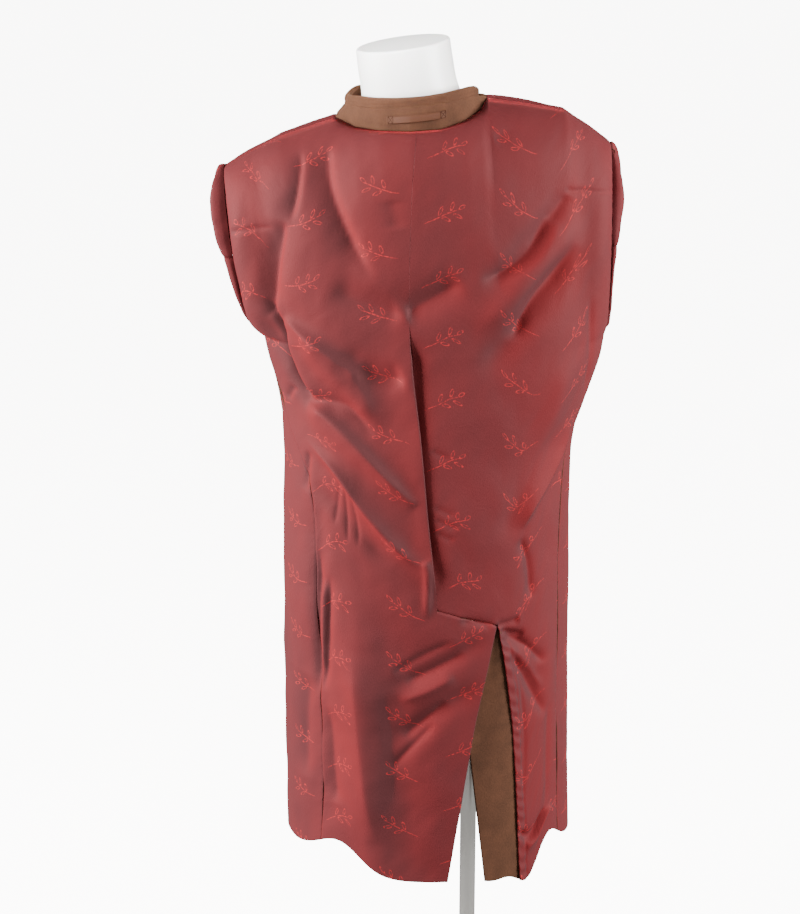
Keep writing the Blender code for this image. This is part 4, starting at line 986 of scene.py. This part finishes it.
FRONT_SHARES = (
    # row, left facing, left edge, right edge, right facing
    (0.0, -0.56, -0.105, 0.085, 0.54), (1.0, -0.50, -0.085, 0.070, 0.46),
    (2.0, -0.4214, -0.115, 0.095, 0.357),
)


def front_turn(sign, column, r):
    """The quarter turn at the side seam, or at a column of the table of front shares."""
    z = skirt_height(r)
    if column == "side":
        return np.where(r < 1, side_turn(sign, z), sign * 1.0)
    return turn_of(curve(FRONT_SHARES, r, column), section(z)[4], front=True)


def front_grid(sign, start, end, count):
    """Quarter turns of a panel between two of these lines, closer together at both."""
    low = front_turn(sign, start, ROWS) + sign * 1e-5
    high = front_turn(sign, end, ROWS)
    share = np.linspace(0, 1, count)
    share = np.concatenate([[0, 0.002, 0.006, 0.012], share[1:-1], [0.988, 0.994, 0.998, 1]])[None, :]
    q = low + (high - low) * share
    return q if sign > 0 else q[:, ::-1]


for side, sign, column, seed in (("left", -1, 1, 11), ("right", 1, 4, 14)):
    q = front_grid(sign, "side", column, 62)
    front = cloth(
        f"coat_front_{side}",
        raised(q, ROWS + 0 * q),
        [lining, wool],
        ("seam", ("seam", 0.4), "free", "seam") if sign < 0 else (("seam", 0.4), "seam", "free", "seam"),
        seed=seed,
        zero=-1 if sign < 0 else 0,
        plain=smooth_point(q, ROWS + 0 * q),
    )
    place(front, "lining", f"front_{side}")
    declare(front)

# Front facings: strips of the same wool along both front edges, sewn to the lining and, at the
# edge, to the front's own wool.

for side, sign, start, end, seed in (("left", -1, 1, 2, 21), ("right", 1, 4, 3, 24)):
    q = front_grid(sign, start, end, 34)
    facing = cloth(
        f"coat_facing_{side}",
        raised(q, ROWS + 0 * q),
        [wool, wool],
        ("free", "seam", "free", "seam") if sign < 0 else ("seam", "free", "free", "seam"),
        seed=seed,
        wrinkle=0.5,
    )
    place(facing, "wool", f"facing_{side}")
    declare(facing)

# Back neck facing: a band of wool between the lining's top edge and the collar, cut to the neck's
# curve and pressed over its seams.

COLLAR_SEAM = np.array([
    (-101, 83, 1356.5), (-133, 64, 1371.5), (-153, 35, 1387), (-162.5, 0, 1393), (-153, -30, 1396.5),
    (-118, -63, 1399.5), (-72, -78, 1404.5), (-33, -66, 1408), (-5, -33, 1409), (4, 0, 1406),
    (-3, 34, 1397), (-20, 64, 1377), (-50, 83, 1356),
])
NECK_FROM = 3 / 12
NECK_TO = 9 / 12


def neck_facing_grid():
    """Points from under the lining's edge up to under the collar."""
    turns = np.linspace(turn_at(NECK_LEFT_X, 2.0), turn_at(NECK_RIGHT_X, 2.0), 110)
    low = coat_point(turns, 2.0)
    share = lengths_along(low[None], 1)[0]
    high = along_points(COLLAR_SEAM, NECK_FROM + (NECK_TO - NECK_FROM) * share / share[-1])
    up = np.linspace(0, 1, 16)
    up = np.concatenate([[-0.3, -0.1, -0.01, 0.02, 0.05], up[1:-1], [0.95, 0.98, 1, 1.1]])[:, None, None]
    points = low + (high - low) * up
    swell = np.where(up < 0, -1.6, np.sin(np.pi * up) * 0.8)
    return points + grid_normals(points) * swell


neck_facing = cloth(
    "coat_neck_facing",
    neck_facing_grid(),
    [wool, wool],
    (None, None, None, None),
    seed=31,
    wrinkle=0.5,
)
place(neck_facing, "wool", "back_neck_facing")
declare(neck_facing)

# Collar: a stand that rises from the neck seam, rolls over and falls inside, in two layers of
# wool sewn together at the edge. It is pressed along the roll.

COLLAR_STATIONS = (
    # turn, height, fall
    (0.0, 44, 6), (0.14, 25, 12), (0.26, 10, 16), (0.36, 8.5, 26), (0.50, 8.5, 36), (0.62, 9, 24),
    (0.69, 8, 12), (0.76, 4.5, 5), (0.88, 6, 6), (1.0, 16, 5),
)
COLLAR_ROLL = 4.6
COLLAR_LEAN = 0.12
COLLAR_FOOT_OUT = 0.9
COLLAR_FOOT_UP = 0.4
NECK_MIDDLE = np.array([-78, 0, 0])


def collar_grid():
    """Lines round the neck: up the stand, over the roll and down the fall."""
    share = np.linspace(0, 1, 170)
    here = along_points(COLLAR_SEAM, share)
    ahead = along_points(COLLAR_SEAM, np.minimum(share + 0.01, 1))
    along = ahead - along_points(COLLAR_SEAM, np.maximum(share - 0.01, 0))
    away = unit(np.stack([-along[:, 1], along[:, 0], 0 * share], -1))
    inward = np.sum(away * (here - NECK_MIDDLE), 1) < 0
    away[inward] *= -1
    lean = unit(np.array([0, 0, 1]) - away * COLLAR_LEAN)
    height, fall = (curve(COLLAR_STATIONS, share, k)[:, None] for k in (1, 2))
    foot = here + np.array([0, 0, COLLAR_FOOT_UP]) + away * COLLAR_FOOT_OUT
    centre = foot + lean * height - away * COLLAR_ROLL
    lines = [foot - lean * 5 - away * 2.4, foot - lean * 1.5 - away * 1.6]
    lines += [foot + (centre + away * COLLAR_ROLL - foot) * t for t in np.linspace(0, 1, 9)]
    for angle in np.linspace(0, np.pi, 13)[1:]:
        lines.append(centre + (away * math.cos(angle) + lean * math.sin(angle)) * COLLAR_ROLL)
    drop = centre - away * COLLAR_ROLL
    lines += [drop - lean * fall * t for t in np.linspace(0, 1, 11)[1:]]
    return np.stack(lines, 0)


collar = cloth(
    "coat_collar",
    collar_grid(),
    [wool, wool],
    ("free", "free", None, "free"),
    seed=41,
    wrinkle=0.5,
    thick=3.2,
    stitched=((2, 6.6, 2.2, 0.15), (2, 11.0, 1.1, 0.1)),
)
place(collar, "wool", "collar")
declare(collar)

# Hanger loop: a flat strip of brown leather, cut and waxed, and sewn down at both ends on the back
# neck facing. It bows out a little between its ends.

LOOP_ENDS = ((-108.5, 0.47), (-39, 0.57))
LOOP_WIDTH = 9.0
LOOP_THICK = 1.6
LOOP_CLEAR = 2.2
LOOP_BOW = 1.5
THREAD_SIDES = 6

# Leather: smooth and waxed, with fine pores and a dull shine
leather, tree, shader = new_material(
    "waxed leather", Base_Color=linear("#4b2b1b"), Roughness=0.7, IOR=1.5, Specular_IOR_Level=0.2
)
where = add_node(tree, "TexCoord").outputs["Object"]
pores = add_node(tree, "TexVoronoi", {"Vector": where, "Scale": 900.0})
add_bump(tree, shader, pores.outputs["Distance"], 0.25, 0.0003)


def loop_grid():
    """Points along the strip, from its lower edge to its upper one."""
    band = neck_facing_grid()
    low, high = band[3], band[-2]
    outward = grid_normals(band)[len(band) // 2]
    t = np.linspace(0, 1, 60)
    x = LOOP_ENDS[0][0] + (LOOP_ENDS[1][0] - LOOP_ENDS[0][0]) * t
    foot, head, out = (
        np.stack([np.interp(x, low[:, 0], part[:, k]) for k in range(3)], -1)
        for part in (low, high, outward)
    )
    up = unit(head - foot)
    clear = LOOP_CLEAR + LOOP_BOW * np.sin(np.pi * t) ** 0.6
    share = LOOP_ENDS[0][1] + (LOOP_ENDS[1][1] - LOOP_ENDS[0][1]) * t
    base = foot + (head - foot) * share[:, None] + out * clear[:, None]
    half = np.array([-0.5, -0.46, -0.38, -0.2, 0, 0.2, 0.38, 0.46, 0.5]) * LOOP_WIDTH
    dome = np.array([-0.5, -0.15, 0, 0, 0, 0, 0, -0.15, -0.5]) + LOOP_THICK / 2
    return base[None] + up[None] * half[:, None, None] + out[None] * dome[:, None, None]


# Buttonhole twist: a matt brown polyester thread, as dark as the leather
twist = new_material(
    "brown twist", Base_Color=linear("#3a2418"), Roughness=0.9, Specular_IOR_Level=0.05
)[0]


def thread(name, lines, radius):
    """Sewing thread: a round cord along each of some lines of points."""
    points, faces = [], []
    for line in lines:
        faces += tube_faces(len(line), THREAD_SIDES, len(points))
        for k, here in enumerate(line):
            along = unit(line[min(k + 1, len(line) - 1)] - line[max(k - 1, 0)])
            level = unit(np.cross(along, [0.3, 0.5, 0.81]))
            up = np.cross(along, level)
            for a in np.linspace(0, 2 * np.pi, THREAD_SIDES, endpoint=False):
                points.append(here + (level * math.cos(a) + up * math.sin(a)) * radius)
    thing = add_thing(name, points, faces, [twist])
    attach(thing, "root")


def loop_stitches(points):
    """A sewn square with a cross at each end of the loop."""
    lines = []
    middle = len(points) // 2
    for low, high in ((1, 6), (-7, -2)):
        corners = [points[middle + a][b] for a, b in ((-3, low), (-3, high), (3, high), (3, low))]
        a, b, c, d = corners
        lines += [(a, b), (b, c), (c, d), (d, a), (a, c), (b, d)]
    out = grid_normals(points)[middle, len(points[0]) // 2] * 0.25
    return [[p + out for p in line] for line in lines]


loop = cloth(
    "coat_loop",
    loop_grid(),
    [leather, leather],
    (None, None, None, None),
    seed=51,
    wrinkle=0.15,
    thick=LOOP_THICK,
)
place(loop, "leather", "hanger_loop")
thread("coat_loop_stitches", loop_stitches(loop_grid()), 0.4)

# Sleeves: lined wool tubes pushed inside through the armholes, each a top sleeve and an under
# sleeve. Their heads puff out of the armholes, and the rest hangs flat inside the coat.

SLEEVE_WALL = 2.6
SLEEVE_TUCK = 0.8
LEFT_LOOPS = (
    # lowest point's x and z, highest point's x and z, half width, shift forwards
    (-263, 1124, -292, 1290, 33, 0), (-257, 1108, -262, 1258, 37, 1), (-249, 1080, -234, 1206, 44, 3),
    (-236, 1046, -212, 1138, 52, 6),
)
RIGHT_LOOPS = (
    (160, 1126, 154, 1318, 32, 0), (154, 1108, 132, 1276, 36, 2), (146, 1078, 112, 1214, 42, 6),
    (133, 1044, 105, 1140, 48, 12),
)
LEFT_HUGS = (
    # z, turn, half of the turn covered, depth below the coat's face, opening
    (1000, 1.04, 0.26, 20, 16), (940, 1.05, 0.28, 22, 6), (860, 1.06, 0.28, 23, 3.4),
    (780, 1.07, 0.27, 23, 3.4), (712, 1.08, 0.26, 23, 3.4),
)
RIGHT_HUGS = (
    (1000, 1.12, 0.24, 12, 12), (940, 1.16, 0.26, 13, 5), (860, 1.17, 0.26, 14, 3.4),
    (780, 1.17, 0.25, 14, 3.4), (726, 1.17, 0.24, 14, 3.4),
)
LIP_RINGS = (
    # outward, width, height, foot
    (9, 1.02, 1.00, 0.985), (18, 0.97, 0.985, 0.965), (20, 0.86, 0.945, 0.945), (16, 0.72, 0.89, 0.925),
    (6, 0.66, 0.85, 0.905),
)
LIP_SIZES = (
    # share of the armhole's height, share of the puff's size
    (0, 0.3), (0.25, 0.3), (0.42, 0.45), (0.6, 0.86), (0.78, 1.0), (0.92, 0.72), (1, 0.34),
)


def sleeve_rings(sign, loops, hugs, lip, around):
    """Loops down the tube, each from the armpit up the back and down the front."""
    angle = np.linspace(0, 2 * np.pi, around, endpoint=False)
    r = 1 + 0.5 * (1 - np.cos(angle))
    behind = angle <= np.pi
    edge = smooth_point(sign * np.where(behind, 1 - 1e-6, 1 + 1e-6), r)
    near = smooth_point(sign * np.where(behind, 0.97, 1.03), r)
    first = edge - unit(edge - near) * SLEEVE_TUCK
    rings = [first]
    middle = (first[0] + first[around // 2]) / 2
    reach = first - middle
    size = curve(LIP_SIZES, 0.5 * (1 - np.cos(angle)))
    size = size * (lip[0] + (lip[1] - lip[0]) * ease(-0.3, 0.3, -np.sin(angle)))
    for outward, width, height, foot in LIP_RINGS:
        up = middle[2] + reach[:, 2] * np.where(reach[:, 2] > 0, height, foot)
        rings.append(np.stack([first[:, 0] + sign * outward * size, reach[:, 1] * width, up], -1))
    for under_x, under_z, top_x, top_z, half_width, forward in loops:
        low, high = np.array([under_x, 0, under_z]), np.array([top_x, 0, top_z])
        line = (low + high) / 2 - (high - low) / 2 * np.cos(angle)[:, None]
        line[:, 1] = forward - half_width * np.sin(angle)
        rings.append(line)
    for z, turn, half_turn, depth, opening in hugs:
        q = sign * (turn - half_turn * np.sin(angle))
        row = row_of(z) + 0 * q
        across = smooth_point(q + 0.004, row) - smooth_point(q - 0.004, row)
        rise = smooth_point(q, row + 0.004) - smooth_point(q, row - 0.004)
        deep = depth + opening / 2 * (1 - np.cos(angle))
        rings.append(smooth_point(q, row) - unit(np.cross(across, rise)) * deep[:, None])
    return np.array(rings)


SLEEVES = (
    # side, sign, loops, hugs, the puff's size behind and in front, seed
    ("left", -1, LEFT_LOOPS, LEFT_HUGS, (1.0, 1.05), 61),
    ("right", 1, RIGHT_LOOPS, RIGHT_HUGS, (0.6, 0.95), 64),
)
SLEEVE_AROUND = 144
SLEEVE_ROWS = 150
for side, sign, loops, hugs, lip, seed in SLEEVES:
    rings = sleeve_rings(sign, loops, hugs, lip, SLEEVE_AROUND)
    tube = along_points(rings, np.linspace(0, 1, SLEEVE_ROWS))
    quarter = SLEEVE_AROUND // 4
    for piece, low in (("under", -quarter), ("top", quarter)):
        columns = np.arange(low, low + SLEEVE_AROUND // 2 + 1) % SLEEVE_AROUND
        grid = tube[:, columns]
        if sign > 0:
            grid = grid[:, ::-1]
        half_tube = cloth(
            f"coat_sleeve_{side}_{piece}",
            grid,
            [lining, wool],
            ("seam", "seam", None, "free"),
            seed=seed + low // 10,
            wrinkle=1.5,
            thick=SLEEVE_WALL,
        )
        place(half_tube, "lining", f"sleeve_{side}_{piece}")
        declare(half_tube)

# Buttons: four of brown horn-look plastic, cast and polished, each sewn through its holes to the
# wool side of the left front. The right front has a buttonhole of twist for each.

BUTTON_HEIGHTS = (1225.0, 1095.0, 965.0, 835.0)
BUTTON_PROFILE = (
    # depth, radius
    (0, 12.6), (0.5, 13.6), (1.2, 14), (2.8, 14), (3.6, 13.4), (4, 12.4), (4, 11.4), (3.2, 9.6),
)
BUTTON_SIDES = 48
BUTTON_INSET = -24.0
BUTTON_SINK = 4.3
HOLE_INSETS = (14.0, 36.0)
HOLE_HALF_LENGTH = 11.5
HOLE_HALF_WIDTH = 1.3

# Polyester button: brown with darker streaks, polished
horn, tree, shader = new_material("polished horn-look plastic", Roughness=0.22, IOR=1.55)
where = add_node(tree, "TexCoord").outputs["Object"]
streaks = add_noise(tree, Vector=where, Scale=160.0, Detail=3.0)
streaked = mix_colours(tree, streaks, linear("#24150e"), linear("#5a3a26"))
tree.links.new(streaked, shader.inputs["Base Color"])


def button_place(z, column, inset):
    """A point of a front's outer face at an inset from its edge, with the outward normal there."""
    r = row_of(z) if z < ARM_Z else 1 + (z - ARM_Z) / (1350 - ARM_Z)
    middle, half, _, _, squareness = section(min(z, ARM_Z))
    share = curve(FRONT_SHARES, r, column) + inset / half
    q = float(turn_of(share, squareness, front=True))
    grid = smooth_point(np.array([[q - 0.004, q, q + 0.004]] * 3), r + np.array([[-0.004], [0], [0.004]]))
    normal = grid_normals(grid)[1, 1]
    return coat_point(np.array([[q]]), np.array([[r]]))[0, 0], normal


for index, z in enumerate(BUTTON_HEIGHTS, 1):
    centre, normal = button_place(z, 2, BUTTON_INSET)
    centre = centre - normal * BUTTON_SINK
    level = unit(np.cross([0, 0, 1], normal))
    up = np.cross(normal, level)
    points = [
        centre + (level * math.cos(angle) + up * math.sin(angle)) * radius - normal * deep
        for deep, radius in BUTTON_PROFILE
        for angle in np.arange(BUTTON_SIDES) * 2 * math.pi / BUTTON_SIDES
    ]
    faces = [face[::-1] for face in tube_faces(len(BUTTON_PROFILE), BUTTON_SIDES)]
    button = add_thing(f"coat_button_{index}", points, faces, [horn])
    place(button, "button", f"button_{index}")
    stitches = [
        [centre + level * x + up * y - normal * deep for y, deep in ((-2.6, 3.5), (0, 4.6), (2.6, 3.5))]
        for x in (-2.4, -1.8, 1.8, 2.4)
    ]
    thread(f"coat_button_thread_{index}", stitches, 0.45)
    (hole_in, out), (hole_end, _) = (button_place(z, 3, inset) for inset in HOLE_INSETS)
    run = unit(hole_end - hole_in)
    rim = np.cross(out, run)
    middle = (hole_in + hole_end) / 2 + out * 0.1
    ring = [
        middle + run * math.cos(a) * HOLE_HALF_LENGTH + rim * math.sin(a) * HOLE_HALF_WIDTH
        for a in np.linspace(0, 2 * np.pi, 25)
    ]
    thread(f"coat_buttonhole_{index}", [ring], 0.6)

# Studio: a pale paper floor that runs far back, a large softbox on each side, the left one a
# little stronger, and a bright even room.

# Paper: matt and near white, and evenly lit all over
paper = new_material(
    "white paper sweep",
    Base_Color=linear("#f6f5f3"),
    Roughness=0.95,
    Emission_Color=linear("#fdfbf9"),
    Emission_Strength=9.0,
)[0]
floor_corners = [(-40000, -20000, 0), (40000, -20000, 0), (40000, 60000, 0), (-40000, 60000, 0)]
floor = add_thing("studio_floor", floor_corners, [(0, 1, 2, 3)], [paper])
floor.visible_diffuse = False
floor.visible_glossy = False

world = bpy.data.worlds.new("bright room")
world.use_nodes = True
room = world.node_tree.nodes["Background"]
room.inputs["Color"].default_value = linear("#fbfaf9")
room.inputs["Strength"].default_value = 0.42
bpy.context.scene.world = world


def add_lamp(name, kind, at, aim, watts, **settings):
    lamp = bpy.data.lights.new(name, kind)
    lamp.energy = watts
    for key, value in settings.items():
        setattr(lamp, key, value)
    thing = add_object(name, lamp)
    thing.location = at
    thing.rotation_euler = (Vector(aim) - Vector(at)).to_track_quat("-Z", "Y").to_euler()


add_lamp("left softbox", "AREA", (-2.7, -0.75, 1.7), (-0.1, 0, 1.0), 380, shape="SQUARE", size=1.5)
add_lamp("right softbox", "AREA", (2.7, -1.0, 1.9), (-0.1, 0, 0.9), 320, shape="SQUARE", size=1.5)
# A narrow lamp on the neck, which the photo shows almost burnt out
narrow = {"spot_size": math.radians(3.3), "spot_blend": 0.5, "shadow_soft_size": 0.1}
add_lamp("neck lamp", "SPOT", (-0.9, -2.2, 2.5), (-0.088, 0, 1.5), 3000, **narrow)

PHOTO_FOCAL_PIXELS = 2200
PHOTO_HEIGHT_PIXELS = 914
camera = bpy.data.cameras.new("camera")
camera.sensor_width = 36.0
camera.lens = PHOTO_FOCAL_PIXELS / PHOTO_HEIGHT_PIXELS * camera.sensor_width
camera.dof.use_dof = False
viewer = add_object("camera", camera)
viewer.location = (-0.094, -2.70, 1.89)
viewer.rotation_euler = (math.radians(70.5), 0, 0)
bpy.context.scene.camera = viewer
